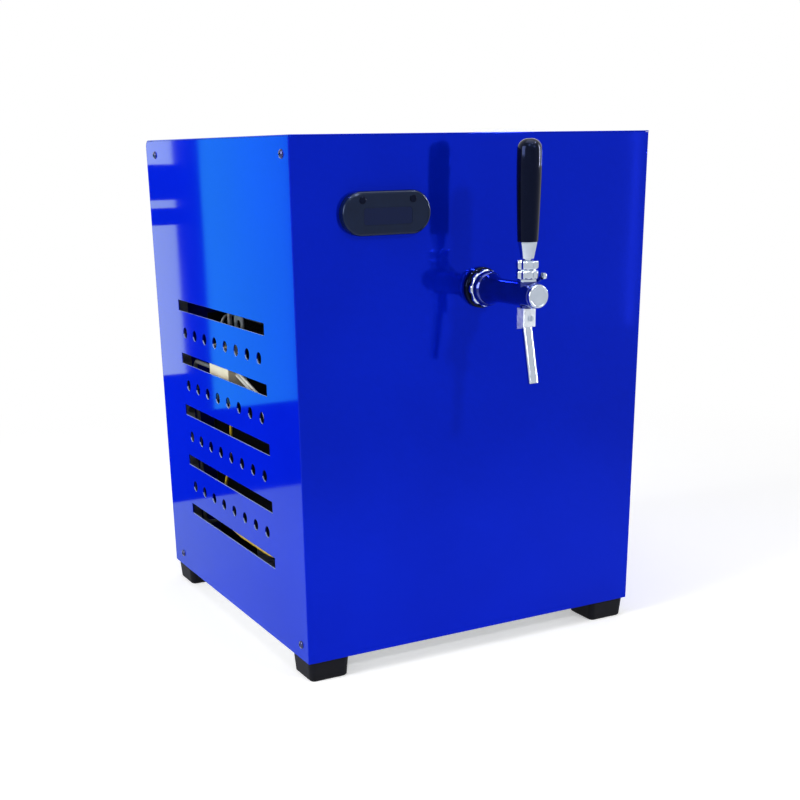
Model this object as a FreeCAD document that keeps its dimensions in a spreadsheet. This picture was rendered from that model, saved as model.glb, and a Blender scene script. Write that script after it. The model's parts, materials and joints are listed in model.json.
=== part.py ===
import FreeCAD, Part
import math
import os
import re
import Sketcher

# Counter-top beer cooler with one tap, in millimetres, +Z up, standing on Z = 0.
# X runs from left to right as seen from the front, and Y from the front to the back.

SIZES = {
    "Cabinet": {
        "cabinetWidth": 397,
        "cabinetDepth": 402,
        "cabinetHeight": 500,
        "sheetGauge": 1.2,
        "panelGap": 0.3,
        "rimHeight": 24,
        "frontReturn": 26,
        "rearReturn": 42,
        "bendRadius": 0.9,
        "panelCorner": 3,
        "coverRoll": 8,
        "cutOverrun": 2,
    },
    "Panel screws": {
        "screwFromFront": 17,
        "screwFromRear": 31,
        "screwFromEnd": 16,
        "screwRadius": 2,
        "screwHeadRadius": 4.2,
        "screwHeadHeight": 2.2,
        "screwHeadRounding": 1.1,
        "screwLength": 7,
        "screwPlay": 0.25,
    },
    "Vents": {
        "slotLength": 249.5,
        "slotHeight": 12,
        "slotPitch": 59.6,
        "lowestSlot": 85.2,
        "slotCount": 5,
        "roundVentRadius": 6,
        "roundVentPitch": 30.9,
        "roundVentCount": 8,
        "rearSlotLength": 200,
    },
    "Feet": {
        "footHeight": 22,
        "footWidth": 45,
        "footInset": 2,
        "footCorner": 6,
        "footDraftAngle": 4,
        "footEdge": 1.5,
        "footRecessRadius": 8,
        "footRecessDepth": 12,
        "footScrewRadius": 2.5,
        "footScrewHeadRadius": 5.5,
        "footScrewHeadHeight": 3,
        "footScrewLength": 16,
    },
    "Tap shank": {
        "tapHeight": 357.5,
        "shankRadius": 11.4,
        "shankBore": 5,
        "shankInside": 28,
        "shankSocketDepth": 7,
        "threadPlay": 0.15,
        "washerRadius": 17,
        "washerThickness": 1.5,
        "nutRadius": 17.3,
        "nutThickness": 7,
        "rosetteRadius": 19.5,
        "rosetteThickness": 5,
        "rosetteRounding": 2,
        "couplingRadius": 18,
        "couplingThickness": 7,
        "couplingRounding": 1.2,
        "couplingNotchCount": 8,
        "couplingNotchRadius": 2.6,
        "couplingNotchDepth": 1.3,
    },
    "Tap body": {
        "barrelRadius": 11.2,
        "barrelFront": 96,
        "barrelEdge": 0.7,
        "flareRadius": 16.4,
        "flareShoulderRadius": 14.6,
        "flareShoulder": 20,
        "flareEnd": 43,
        "flareRounding": 9,
        "flareSweep": 78,
        "throatEnd": 40,
        "chamberRadius": 7.5,
        "seatRadius": 4,
        "seatRear": 55,
        "seatFront": 63,
        "bonnetSet": 80,
        "bossRadius": 9,
        "bossTop": 12.2,
        "fingerHoleRadius": 7.3,
        "outletBossRadius": 6,
        "outletRadius": 3.5,
        "capRadius": 10.5,
        "capThickness": 4,
        "capBevel": 1.1,
        "capSpigotRadius": 7.3,
        "capSpigotLength": 5.5,
    },
    "Bonnet nut": {
        "bonnetRadius": 10.6,
        "bonnetNeckRadius": 8.6,
        "bonnetNeckTop": 14.4,
        "bonnetWaist": 22,
        "bonnetWaistDepth": 0.9,
        "bonnetWaistHeight": 0.9,
        "bonnetTop": 30.5,
        "bonnetBevel": 0.8,
        "bonnetLipRadius": 5.85,
        "bonnetLipHeight": 26.5,
        "mouthRadius": 9.6,
        "fluteCount": 10,
        "fluteRadius": 1.7,
        "fluteDepth": 0.6,
    },
    "Tap lever": {
        "pivotHeight": 24,
        "ballRadius": 6,
        "ballPlay": 0.35,
        "leverArm": 19,
        "fingerRadius": 1.3,
        "fingerTipRadius": 1.9,
        "stemRadius": 3.5,
        "studRadius": 3,
        "studTop": 46,
        "ferruleBottom": 8.5,
        "ferruleBottomRadius": 6.1,
        "ferruleTop": 23.1,
        "ferruleTopRadius": 8.75,
        "ferruleLip": 1.4,
        "handleBottomRadius": 9.5,
        "handleLowRadius": 10.3,
        "handleLow": 42,
        "handleMiddleRadius": 10.95,
        "handleMiddle": 62,
        "handleRadius": 11.4,
        "handleWidest": 86,
        "handleShoulderRadius": 11,
        "handleTop": 112,
        "handleTopRounding": 7.5,
    },
    "Valve": {
        "shuttlePlay": 0.08,
        "poppetRadius": 5.4,
        "poppetLength": 3.4,
        "poppetStemRadius": 2,
        "sealThickness": 1.5,
        "sealGap": 0.1,
        "fingerPlay": 0.3,
        "shuttleLandLength": 5.5,
        "fluteCutRadius": 2.2,
        "fluteCutCount": 4,
    },
    "Compensator": {
        "compensatorSet": 59,
        "spindleRadius": 2.4,
        "spindleTip": 4.6,
        "compensatorGap": 0.5,
        "compensatorHub": 4.2,
        "compensatorThickness": 2.8,
        "compensatorLength": 32.5,
        "compensatorRootWidth": 4.4,
        "compensatorTipWidth": 2.6,
        "compensatorKnobRadius": 3.1,
        "compensatorKnobExtra": 1,
        "compensatorRounding": 0.9,
        "compensatorAngle": 149.5,
    },
    "Nozzle": {
        "elbowWidth": 13.5,
        "elbowBottom": 30,
        "elbowRounding": 2.2,
        "nozzleSet": 1.4,
        "nozzleTilt": 13.8,
        "nozzleRadius": 5,
        "nozzleBore": 3.8,
        "nozzleLength": 51.8,
        "nozzleSpigotRadius": 4.5,
        "nozzleSpigotLength": 7,
        "nozzleTurn": 8.5,
        "nozzleScrewHeight": 21,
        "nozzleScrewHeadRadius": 2.7,
        "nozzleScrewHeadHeight": 1.2,
        "nozzleScrewRadius": 1.2,
        "nozzleScrewLength": 2.4,
        "nozzleScrewSlot": 0.8,
    },
    "Thermostat": {
        "thermostatFromLeft": 93,
        "thermostatHeight": 431.2,
        "bezelLength": 91.8,
        "bezelHeight": 39.4,
        "bezelDepth": 9,
        "bezelRounding": 3.2,
        "lensLength": 50,
        "lensHeight": 15,
        "lensCorner": 3,
        "lensThickness": 1.3,
        "lensDrop": 2.5,
        "lensPlay": 0.15,
        "lensRecess": 0.2,
        "caseLength": 72,
        "caseHeight": 28,
        "caseDepth": 52,
        "caseCorner": 2,
        "casePlay": 0.4,
        "keyOffset": 26.1,
        "keyHeight": 12,
        "keyRadius": 3.3,
        "keyPlay": 0.1,
        "keyProud": 0.9,
        "keyLength": 5.2,
        "keyTravel": 0.8,
        "keyRounding": 0.4,
    },
    "Rear fittings": {
        "inletReach": 27,
        "inletFromCentre": 60,
        "inletHeight": 385,
        "inletFlangeRadius": 14,
        "inletFlangeThickness": 4,
        "inletStubRadius": 9.5,
        "inletBore": 5,
        "inletInside": 22,
        "inletNutRadius": 15,
        "inletNutThickness": 6,
        "lineRadius": 4.7,
        "lineEntry": 8,
        "socketFromCentre": 110,
        "socketHeight": 62,
        "socketFlangeLength": 50,
        "socketFlangeHeight": 31,
        "socketFlangeThickness": 3,
        "socketCorner": 4,
        "socketBodyLength": 46,
        "socketBodyHeight": 26,
        "socketBodyDepth": 22,
        "socketRecessLength": 24.5,
        "socketRecessHeight": 16.5,
        "socketRecessDepth": 17,
        "socketPlay": 0.4,
        "pinThickness": 2,
        "pinHeight": 4,
        "pinPitch": 7,
        "pinRise": 3,
        "pinLength": 14,
    },
    "Upper compartment": {
        "shelfHeight": 331,
        "shelfGap": 3.5,
        "shelfRim": 10,
        "postWidth": 20,
        "postGauge": 1.5,
        "postInset": 36,
        "blockFromSide": 73.5,
        "blockFromRear": 76,
        "blockHeight": 100,
        "blockFromFront": 86,
        "blockCorner": 6,
        "foamWall": 22,
        "foamFloor": 12,
        "foamLid": 24,
        "foamPlay": 0.3,
        "foamCorner": 8,
        "foamHolePlay": 0.6,
    },
    "Compressor": {
        "compressorX": 30,
        "compressorFromRear": 152,
        "shellRadius": 60,
        "shellBaseRadius": 42,
        "shellBellyHeight": 26,
        "shellSeam": 72,
        "shellSeamWidth": 3.5,
        "shellSeamThickness": 3,
        "shellShoulder": 108,
        "shellTop": 150,
        "shellBottomSweep": 34,
        "shellTopSweep": 42,
        "stubRadius": 5,
        "stubReach": 14,
        "dischargeHeight": 104,
        "suctionHeight": 94,
        "mountLength": 170,
        "mountWidth": 112,
        "mountThickness": 2.5,
        "mountCorner": 12,
        "mountHoleInset": 10,
        "grommetRadius": 9,
        "grommetHeight": 14,
        "grommetWaist": 7,
        "grommetGroove": 4,
        "boltRadius": 3,
        "boltHeadRadius": 6.5,
        "boltHeadHeight": 4,
        "boltPlay": 0.3,
        "relayLength": 44,
        "relayDepth": 24,
        "relayHeight": 46,
        "relayBottom": 24,
        "relayCorner": 3,
    },
    "Condenser": {
        "condenserFromSide": 30,
        "condenserThickness": 45,
        "condenserFromRear": 87,
        "condenserLength": 165,
        "endPlateTop": 314,
        "endPlateFoot": 14,
        "finCount": 16,
        "finGauge": 0.8,
        "finBottom": 62,
        "finTop": 304,
        "tubeRadius": 5,
        "tubePlay": 0.15,
        "tubeRuns": 4,
        "tubePitch": 62,
        "lowestTube": 90,
        "tubeStub": 14,
    },
    "Fan": {
        "fanHeight": 186,
        "shroudBottom": 62,
        "shroudTop": 310,
        "fanRadius": 72,
        "fanGap": 4,
        "collarDepth": 22,
        "hubRadius": 19,
        "hubLength": 14,
        "hubSet": 5,
        "bladeCount": 5,
        "bladeOverlap": 1.5,
        "bladeGauge": 1.6,
        "rootChord": 20,
        "tipChord": 46,
        "rootPitchAngle": 52,
        "tipPitchAngle": 76,
        "fanShaftRadius": 3,
        "fanShaftPlay": 0.05,
        "fanShaftEngage": 10,
        "motorRadius": 28,
        "motorLength": 40,
        "motorRounding": 4,
        "bracketWidth": 24,
        "bracketGauge": 2,
        "bracketReach": 27,
        "bracketGap": 5,
        "bracketBore": 8,
    },
    "Pipes": {
        "pipeRadius": 4,
        "pipeBend": 14,
        "capillaryRadius": 1.5,
        "drierRadius": 12,
        "drierNeckRadius": 4,
        "drierLength": 90,
        "drierNeck": 10,
        "drierFromSide": 58.5,
        "drierForward": 31,
        "drierBottom": 104,
        "riserFromSide": 30.5,
        "riserNotch": 26,
        "suctionY": 150,
        "suctionRise": 75.5,
        "capillaryY": 105,
        "capillaryRise": 55.5,
        "dischargeReach": 54,
        "liquidDrop": 30,
    },
    "Terminal box": {
        "boxFromSide": 6,
        "boxThickness": 20,
        "boxFromFront": 196,
        "boxLength": 56,
        "boxBottom": 230,
        "boxHeight": 58,
        "boxCorner": 3,
        "strapWidth": 26,
        "strapHoleRadius": 5,
        "strapHoleDrop": 19,
        "wireRadius": 1.6,
        "wirePitch": 4.5,
        "wireBend": 9,
        "leadRadius": 2.3,
        "leadBend": 3.5,
        "leadHoleX": 18,
        "leadHoleY": 214,
        "leadHoleRadius": 5,
    },
}

# Points on each wire: in from the cabinet's left side, back from its front, up from its bottom
ROUTES = {
    "whiteWire": [(16, 196, 265), (13, 165, 260), (13, 130, 250), (14, 108, 222), (16, 102, 150),
                  (16, 104, 96), (34, 116, 82), (206, 122, 80), (221, 140, 68), (221, 165.7, 68)],
    "yellowWire": [(14, 214, 230), (15, 222, 190), (14, 234, 148), (13, 262, 100), (13, 246, 84), (13, 200, 80),
                   (14, 150, 79), (17, 121, 77), (40, 124, 72), (214, 130, 62), (235, 142, 56),
                   (235, 165.7, 56)],
    "thermostatLead": [(68, 52, 431.2), (68, 58, 431.2), (27, 58, 431.2), (27, 66, 390), (18, 214, 352),
                       (18, 214, 288)],
    "fanLead": [(123, 232.5, 214.3), (123, 232.5, 320), (16, 232.5, 320), (16, 232.5, 288)],
    "mainsLead": [(88.5, 380, 62), (88.5, 340, 62), (18, 334, 62), (18, 334, 258), (18, 252, 258)],
}

document = FreeCAD.newDocument("BeerCooler")
sizes = document.addObject("Spreadsheet::Sheet", "Sizes")
ALIASES = set()
row = 0
for heading, table in SIZES.items():
    row += 1
    sizes.set(f"A{row}", heading)
    for name, size in table.items():
        row += 1
        sizes.set(f"A{row}", name)
        sizes.set(f"B{row}", str(size))
        sizes.setAlias(f"B{row}", name)
        ALIASES.add(name)
for name, points in ROUTES.items():
    for number, point in enumerate(points, 1):
        for letter, size in zip("XYZ", point):
            row += 1
            alias = f"{name}{letter}{number}"
            sizes.set(f"B{row}", str(size))
            sizes.setAlias(f"B{row}", alias)
            ALIASES.add(alias)
document.recompute()


# Expressions in the names of the sheet

def tied(expression):
    def full(word):
        return "Sizes." + word[0] if word[0] in ALIASES else word[0]
    return re.sub(r"[A-Za-z]\w*", full, expression)


def value(expression):
    return float(sizes.evalExpression(expression))


def spot(x, y, z):
    return FreeCAD.Vector(value(x), value(y), value(z))


FRONT = "(barrelFront + capThickness - cabinetDepth - inletReach) / 2"
HALF = "cabinetWidth / 2"
RETURN = "cabinetWidth / 2 - sheetGauge - panelGap"
RETURN_INSIDE = "cabinetWidth / 2 - 2 * sheetGauge - panelGap"
RIM = "cabinetWidth / 2 - 2 * sheetGauge - 2 * panelGap"
RIM_FRONT = "sheetGauge + panelGap"
RIM_REAR = "cabinetDepth - sheetGauge - panelGap"
PANEL_TOP = "cabinetHeight - sheetGauge - panelGap"
REAR_PANEL_TOP = "cabinetHeight - coverRoll - panelGap"
COMPRESSOR_Y = "(cabinetDepth - compressorFromRear)"
CONDENSER_FRONT = "(cabinetDepth - condenserFromRear - condenserLength)"
RISER_X = "(cabinetWidth / 2 - riserFromSide)"

CABINET = ("0", FRONT, "footHeight")
TAP = ("0", FRONT, "footHeight + tapHeight")
BONNET = ("0", FRONT + " - bonnetSet", "footHeight + tapHeight")
THERMOSTAT = ("thermostatFromLeft - cabinetWidth / 2", FRONT, "footHeight + thermostatHeight")


# Helpers for pieces made of sketches and features

def set_place(thing, at, axis=None, angle=None):
    if axis:
        turn = FreeCAD.Rotation(FreeCAD.Vector(*axis), value(angle))
        thing.Placement = FreeCAD.Placement(FreeCAD.Vector(), turn)
        thing.setExpression("Placement.Rotation.Angle", tied(angle))
    for letter, expression in zip("xyz", at):
        thing.setExpression("Placement.Base." + letter, tied(expression))


def new_body(label, at, axis=None, angle=None):
    body = document.addObject("PartDesign::Body", label)
    body.Label = label
    set_place(body, at, axis, angle)
    return body


def origin_feature(body, role):
    return next(feature for feature in body.Origin.OriginFeatures if feature.Role == role)


def sketch_on(body, plane, lift="0"):
    # plane is XY, XZ or YZ; XZ looks forward, along -Y, and its lift is measured that way
    sketch = body.newObject("Sketcher::SketchObject", body.Label + "_outline")
    sketch.AttachmentSupport = (origin_feature(body, plane + "_Plane"), [""])
    sketch.MapMode = "FlatFace"
    sketch.setExpression("AttachmentOffset.Base.z", tied(lift))
    return sketch


def tie_point(sketch, curve, end, x, y):
    for kind, axis, expression in (("DistanceX", -2, x), ("DistanceY", -1, y)):
        if expression == "0":
            sketch.addConstraint(Sketcher.Constraint("PointOnObject", curve, end, axis))
        else:
            fixed = Sketcher.Constraint(kind, -1, 1, curve, end, value(expression))
            number = sketch.addConstraint(fixed)
            sketch.setExpression(f"Constraints[{number}]", tied(expression))


def tie_radius(sketch, curve, radius):
    number = sketch.addConstraint(Sketcher.Constraint("Radius", curve, value(radius)))
    sketch.setExpression(f"Constraints[{number}]", tied(radius))


def arc_between(start, end, radius, side):
    # side is 1 for a bulge to the right of the way from start to end, -1 for one to the left
    chord = end - start
    across = FreeCAD.Vector(-chord.y, chord.x, 0).normalize()
    rise = math.sqrt(radius**2 - (chord.Length / 2)**2)
    centre = (start + end) / 2 + across * rise * side
    first, last = (start, end) if side > 0 else (end, start)
    begin = math.atan2(first.y - centre.y, first.x - centre.x)
    finish = math.atan2(last.y - centre.y, last.x - centre.x)
    circle = Part.Circle(centre, FreeCAD.Vector(0, 0, 1), radius)
    return Part.ArcOfCircle(circle, begin, finish)


def draw_outline(sketch, points):
    # each point is (x, y), or (x, y, radius, side) where an arc leads on to the next point
    corners = [FreeCAD.Vector(value(point[0]), value(point[1]), 0) for point in points]
    ends = []
    for index, point in enumerate(points):
        start, end = corners[index], corners[(index + 1) % len(points)]
        if len(point) == 2:
            ends.append((sketch.addGeometry(Part.LineSegment(start, end), False), 1, 2))
        else:
            arc = sketch.addGeometry(arc_between(start, end, value(point[2]), point[3]), False)
            ends.append((arc, 1, 2) if point[3] > 0 else (arc, 2, 1))
    for index, (curve, start, end) in enumerate(ends):
        after = ends[(index + 1) % len(ends)]
        sketch.addConstraint(Sketcher.Constraint("Coincident", curve, end, after[0], after[1]))
    for (curve, start, end), point in zip(ends, points):
        tie_point(sketch, curve, start, point[0], point[1])
        if len(point) == 4:
            tie_radius(sketch, curve, point[2])


def draw_box(sketch, left, bottom, right, top):
    draw_outline(sketch, [(left, bottom), (right, bottom), (right, top), (left, top)])


def draw_circle(sketch, x, y, radius):
    circle = Part.Circle(spot(x, y, "0"), FreeCAD.Vector(0, 0, 1), value(radius))
    curve = sketch.addGeometry(circle, False)
    tie_point(sketch, curve, 3, x, y)
    tie_radius(sketch, curve, radius)


def draw_polygon(sketch, radius, count):
    # a regular polygon about the sketch's origin
    step = 360 / count
    draw_outline(sketch, [(f"{radius} * cos({number * step})" if number * step % 180 != 90 else "0",
                           f"{radius} * sin({number * step})" if number * step % 180 != 0 else "0")
                          for number in range(count)])


def draw_stadium(sketch, length, height):
    # an oblong with fully round ends, centred on the sketch's origin
    radius = value(height) / 2
    reach = value(length) / 2 - radius
    ends = []
    for side, begin in ((1, -math.pi / 2), (-1, math.pi / 2)):
        circle = Part.Circle(FreeCAD.Vector(side * reach, 0, 0), FreeCAD.Vector(0, 0, 1), radius)
        arc = sketch.addGeometry(Part.ArcOfCircle(circle, begin, begin + math.pi), False)
        tie_point(sketch, arc, 3, f"{side} * ({length} - {height}) / 2", "0")
        tie_radius(sketch, arc, f"{height} / 2")
        sketch.addConstraint(Sketcher.Constraint("Vertical", arc, 1, arc, 3))
        sketch.addConstraint(Sketcher.Constraint("Vertical", arc, 2, arc, 3))
        ends.append(arc)
    for this, other, level in ((ends[0], ends[1], 1), (ends[1], ends[0], -1)):
        line = Part.LineSegment(FreeCAD.Vector(level * reach, level * radius, 0),
                                FreeCAD.Vector(-level * reach, level * radius, 0))
        curve = sketch.addGeometry(line, False)
        sketch.addConstraint(Sketcher.Constraint("Coincident", curve, 1, this, 2))
        sketch.addConstraint(Sketcher.Constraint("Coincident", curve, 2, other, 1))


def pad(body, sketch, length, middle=False, reverse=False, taper=None):
    feature = body.newObject("PartDesign::Pad", body.Label + "_pad")
    feature.Profile = sketch
    feature.Midplane = middle
    feature.Reversed = reverse
    feature.setExpression("Length", tied(length))
    if taper:
        feature.setExpression("TaperAngle", tied(taper))
    return feature


def cut(body, sketch, length=None, middle=False, reverse=False):
    # without a length it cuts through all; it goes against the sketch's normal unless reversed
    feature = body.newObject("PartDesign::Pocket", body.Label + "_cut")
    feature.Profile = sketch
    feature.Midplane = middle
    feature.Reversed = reverse
    if length:
        feature.setExpression("Length", tied(length))
    else:
        feature.Type = "ThroughAll"
    return feature


def revolve(body, sketch, kind="Revolution"):
    feature = body.newObject("PartDesign::" + kind, body.Label + "_turn")
    feature.Profile = sketch
    feature.ReferenceAxis = (sketch, ["V_Axis"])
    feature.Angle = 360
    return feature


def repeat_along(body, feature, sketch, axis, spacing, count):
    pattern = body.newObject("PartDesign::LinearPattern", body.Label + "_row")
    pattern.Originals = [feature]
    pattern.Direction = (sketch, [axis])
    pattern.Mode = "Spacing"
    pattern.setExpression("Offset", tied(spacing))
    pattern.setExpression("Occurrences", tied(count))
    body.Tip = pattern
    return pattern


def repeat_round(body, feature, axis, count):
    pattern = body.newObject("PartDesign::PolarPattern", body.Label + "_ring")
    pattern.Originals = [feature]
    pattern.Axis = (origin_feature(body, axis + "_Axis"), [""])
    pattern.Angle = 360
    pattern.setExpression("Occurrences", tied(count))
    body.Tip = pattern
    return pattern


def dress_edges(body, kind, test, size):
    # rounds ("Fillet") or bevels ("Chamfer") the edges of the body's last feature that pass the test
    document.recompute()
    base = body.Tip
    edges = [f"Edge{number}" for number, edge in enumerate(base.Shape.Edges, 1) if test(edge)]
    feature = body.newObject("PartDesign::" + kind, body.Label + "_edge")
    feature.Base = (base, edges)
    feature.setExpression("Radius" if kind == "Fillet" else "Size", tied(size))
    return feature


def runs_along(edge, axis):
    if len(edge.Vertexes) < 2:
        return False
    way = edge.Vertexes[1].Point - edge.Vertexes[0].Point
    return way.Length > 0 and abs(way.dot(FreeCAD.Vector(*axis))) > 0.999 * way.Length


def lies_at(edge, letter, height):
    # whether the whole edge lies in the plane where the coordinate named by the letter is the height
    box = edge.BoundBox
    low, high = getattr(box, letter + "Min"), getattr(box, letter + "Max")
    return abs(low - height) < NEAR and abs(high - height) < NEAR


NEAR = value("panelGap") / 100


# Pipes and wires: straight runs joined by tangent arcs

def pipe_path(corners, bend):
    edges = []
    here = corners[0]
    for before, corner, after in zip(corners, corners[1:], corners[2:]):
        way_in = (corner - before).normalize()
        way_out = (after - corner).normalize()
        turn = way_in.getAngle(way_out)
        trim = bend * math.tan(turn / 2)
        inward = (way_out - way_in).normalize()
        centre = corner + inward * (bend / math.cos(turn / 2))
        begin, finish = corner - way_in * trim, corner + way_out * trim
        if (begin - here).Length > NEAR:
            edges.append(Part.LineSegment(here, begin).toShape())
        edges.append(Part.Arc(begin, centre - inward * bend, finish).toShape())
        here = finish
    if (corners[-1] - here).Length > NEAR:
        edges.append(Part.LineSegment(here, corners[-1]).toShape())
    return Part.Wire(edges)


def pipe_shape(points, radius, bend):
    corners = [spot(*point) for point in points]
    path = pipe_path(corners, value(bend))
    along = (corners[1] - corners[0]).normalize()
    ring = Part.Wire(Part.Circle(corners[0], along, value(radius)).toShape())
    tube = path.makePipeShell([ring], True, False)
    expected = math.pi * value(radius)**2 * path.Length
    if abs(tube.Volume / expected - 1) > 0.01:
        raise ValueError("a pipe's volume isn't its section times its length")
    return tube


def new_shape(label, shape, at):
    feature = document.addObject("Part::Feature", label)
    feature.Label = label
    feature.Shape = shape
    set_place(feature, at)
    return feature


# Cabinet: folded sheet panels

def base_tray():
    body = new_body("base_tray", CABINET)
    plan = sketch_on(body, "XY")
    draw_box(plan, "-(" + RIM + ")", RIM_FRONT, RIM, RIM_REAR)
    pad(body, plan, "rimHeight")
    inside = sketch_on(body, "XY", "rimHeight")
    draw_box(inside, "sheetGauge - (" + RIM + ")", RIM_FRONT + " + sheetGauge",
             RIM + " - sheetGauge", RIM_REAR + " - sheetGauge")
    cut(body, inside, "rimHeight - sheetGauge")
    holes = sketch_on(body, "XY")
    for x, y in foot_centres():
        draw_circle(holes, x, y, "footScrewRadius + screwPlay")
    cut(body, holes, reverse=True)
    rim_screw_holes(body, "screwFromEnd")


def rim_screw_holes(body, height):
    holes = sketch_on(body, "YZ")
    for y in ("screwFromFront", "cabinetDepth - screwFromRear"):
        draw_circle(holes, y, height, "screwRadius + screwPlay")
    cut(body, holes, middle=True)


def panel_screw_holes(body):
    holes = sketch_on(body, "YZ")
    for y in ("screwFromFront", "cabinetDepth - screwFromRear"):
        for z in ("screwFromEnd", "cabinetHeight - screwFromEnd"):
            draw_circle(holes, y, z, "screwRadius + screwPlay")
    cut(body, holes, middle=True)


def front_panel():
    body = new_body("front_panel", CABINET)
    plan = sketch_on(body, "XY")
    draw_outline(plan, [("-" + HALF, "0"), (HALF, "0"), (HALF, "sheetGauge"), (RETURN, "sheetGauge"),
                        (RETURN, "frontReturn"), (RETURN_INSIDE, "frontReturn"), (RETURN_INSIDE, "sheetGauge"),
                        ("-(" + RETURN_INSIDE + ")", "sheetGauge"), ("-(" + RETURN_INSIDE + ")", "frontReturn"),
                        ("-(" + RETURN + ")", "frontReturn"), ("-(" + RETURN + ")", "sheetGauge"),
                        ("-" + HALF, "sheetGauge")])
    pad(body, plan, PANEL_TOP)
    holes = sketch_on(body, "XZ")
    draw_circle(holes, "0", "tapHeight", "shankRadius + threadPlay")
    left, low = "thermostatFromLeft - cabinetWidth / 2", "thermostatHeight"
    draw_box(holes, f"{left} - caseLength / 2 - casePlay", f"{low} - caseHeight / 2 - casePlay",
             f"{left} + caseLength / 2 + casePlay", f"{low} + caseHeight / 2 + casePlay")
    cut(body, holes)
    panel_screw_holes(body)
    dress_edges(body, "Fillet", lambda edge: runs_along(edge, (0, 0, 1)) and lies_at(edge, "Y", 0)
                and abs(abs(edge.CenterOfMass.x) - value(HALF)) < NEAR, "bendRadius")


def side_panel(label, side):
    body = new_body(label, CABINET)
    plan = sketch_on(body, "XY")
    near, far = sorted([f"{side} * cabinetWidth / 2", f"{side} * (cabinetWidth / 2 - sheetGauge)"], key=value)
    draw_box(plan, near, "sheetGauge + panelGap", far, "cabinetDepth - sheetGauge - panelGap")
    pad(body, plan, PANEL_TOP)
    slot = sketch_on(body, "YZ")
    draw_box(slot, "(cabinetDepth - slotLength) / 2", "lowestSlot - slotHeight / 2",
             "(cabinetDepth + slotLength) / 2", "lowestSlot + slotHeight / 2")
    opening = cut(body, slot, middle=True)
    repeat_along(body, opening, slot, "V_Axis", "slotPitch", "slotCount")
    ring = sketch_on(body, "YZ")
    middle = (int(value("roundVentCount")) - 1) / 2
    for number in range(int(value("roundVentCount"))):
        draw_circle(ring, f"cabinetDepth / 2 + ({number - middle}) * roundVentPitch",
                    "lowestSlot + slotPitch / 2", "roundVentRadius")
    hole_row = cut(body, ring, middle=True)
    repeat_along(body, hole_row, ring, "V_Axis", "slotPitch", "slotCount - 1")
    panel_screw_holes(body)
    # the upper corner at the back follows the inside of the cover's roll
    for height, rounding in (("0", "panelCorner"), (PANEL_TOP, "coverRoll - sheetGauge - panelGap")):
        dress_edges(body, "Fillet", lambda edge: runs_along(edge, (1, 0, 0))
                    and lies_at(edge, "Y", value(RIM_REAR)) and lies_at(edge, "Z", value(height)), rounding)


def rear_panel():
    body = new_body("rear_panel", CABINET)
    back, inner = "cabinetDepth", "cabinetDepth - sheetGauge"
    plan = sketch_on(body, "XY")
    draw_outline(plan, [("-" + HALF, back), ("-" + HALF, inner), ("-(" + RETURN + ")", inner),
                        ("-(" + RETURN + ")", "cabinetDepth - rearReturn"),
                        ("-(" + RETURN_INSIDE + ")", "cabinetDepth - rearReturn"),
                        ("-(" + RETURN_INSIDE + ")", inner), (RETURN_INSIDE, inner),
                        (RETURN_INSIDE, "cabinetDepth - rearReturn"), (RETURN, "cabinetDepth - rearReturn"),
                        (RETURN, inner), (HALF, inner), (HALF, back)])
    pad(body, plan, REAR_PANEL_TOP)
    slot = sketch_on(body, "XZ")
    draw_box(slot, "-rearSlotLength / 2", "lowestSlot + slotPitch - slotHeight / 2",
             "rearSlotLength / 2", "lowestSlot + slotPitch + slotHeight / 2")
    opening = cut(body, slot)
    repeat_along(body, opening, slot, "V_Axis", "slotPitch", "slotCount - 1")
    holes = sketch_on(body, "XZ")
    draw_circle(holes, "inletFromCentre", "inletHeight", "inletStubRadius + threadPlay")
    draw_box(holes, "-socketFromCentre - socketBodyLength / 2 - socketPlay",
             "socketHeight - socketBodyHeight / 2 - socketPlay",
             "-socketFromCentre + socketBodyLength / 2 + socketPlay",
             "socketHeight + socketBodyHeight / 2 + socketPlay")
    cut(body, holes)
    panel_screw_holes(body)
    dress_edges(body, "Fillet", lambda edge: runs_along(edge, (0, 0, 1))
                and lies_at(edge, "Y", value("cabinetDepth"))
                and abs(abs(edge.CenterOfMass.x) - value(HALF)) < NEAR, "bendRadius")


def top_cover():
    # the sheet rolls down over the rear panel, and a rim below it takes the screws
    body = new_body("top_cover", CABINET)
    profile = sketch_on(body, "YZ", "-" + HALF)
    under, roll_start = "cabinetHeight - sheetGauge", "cabinetDepth - coverRoll"
    roll_end = "cabinetHeight - coverRoll"
    draw_outline(profile, [("0", "cabinetHeight"), ("0", under),
                           (roll_start, under, "coverRoll - sheetGauge", -1),
                           ("cabinetDepth - sheetGauge", roll_end),
                           ("cabinetDepth", roll_end, "coverRoll", 1), (roll_start, "cabinetHeight")])
    pad(body, profile, "cabinetWidth")
    rim = sketch_on(body, "XY", "cabinetHeight - sheetGauge - rimHeight")
    draw_box(rim, "-(" + RIM + ")", RIM_FRONT, RIM, roll_start)
    draw_box(rim, "sheetGauge - (" + RIM + ")", RIM_FRONT + " + sheetGauge",
             RIM + " - sheetGauge", roll_start + " - sheetGauge")
    pad(body, rim, "rimHeight")
    rim_screw_holes(body, "cabinetHeight - screwFromEnd")
    dress_edges(body, "Fillet", lambda edge: lies_at(edge, "Z", value("cabinetHeight"))
                and not lies_at(edge, "Y", value(roll_start)), "bendRadius")


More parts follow.
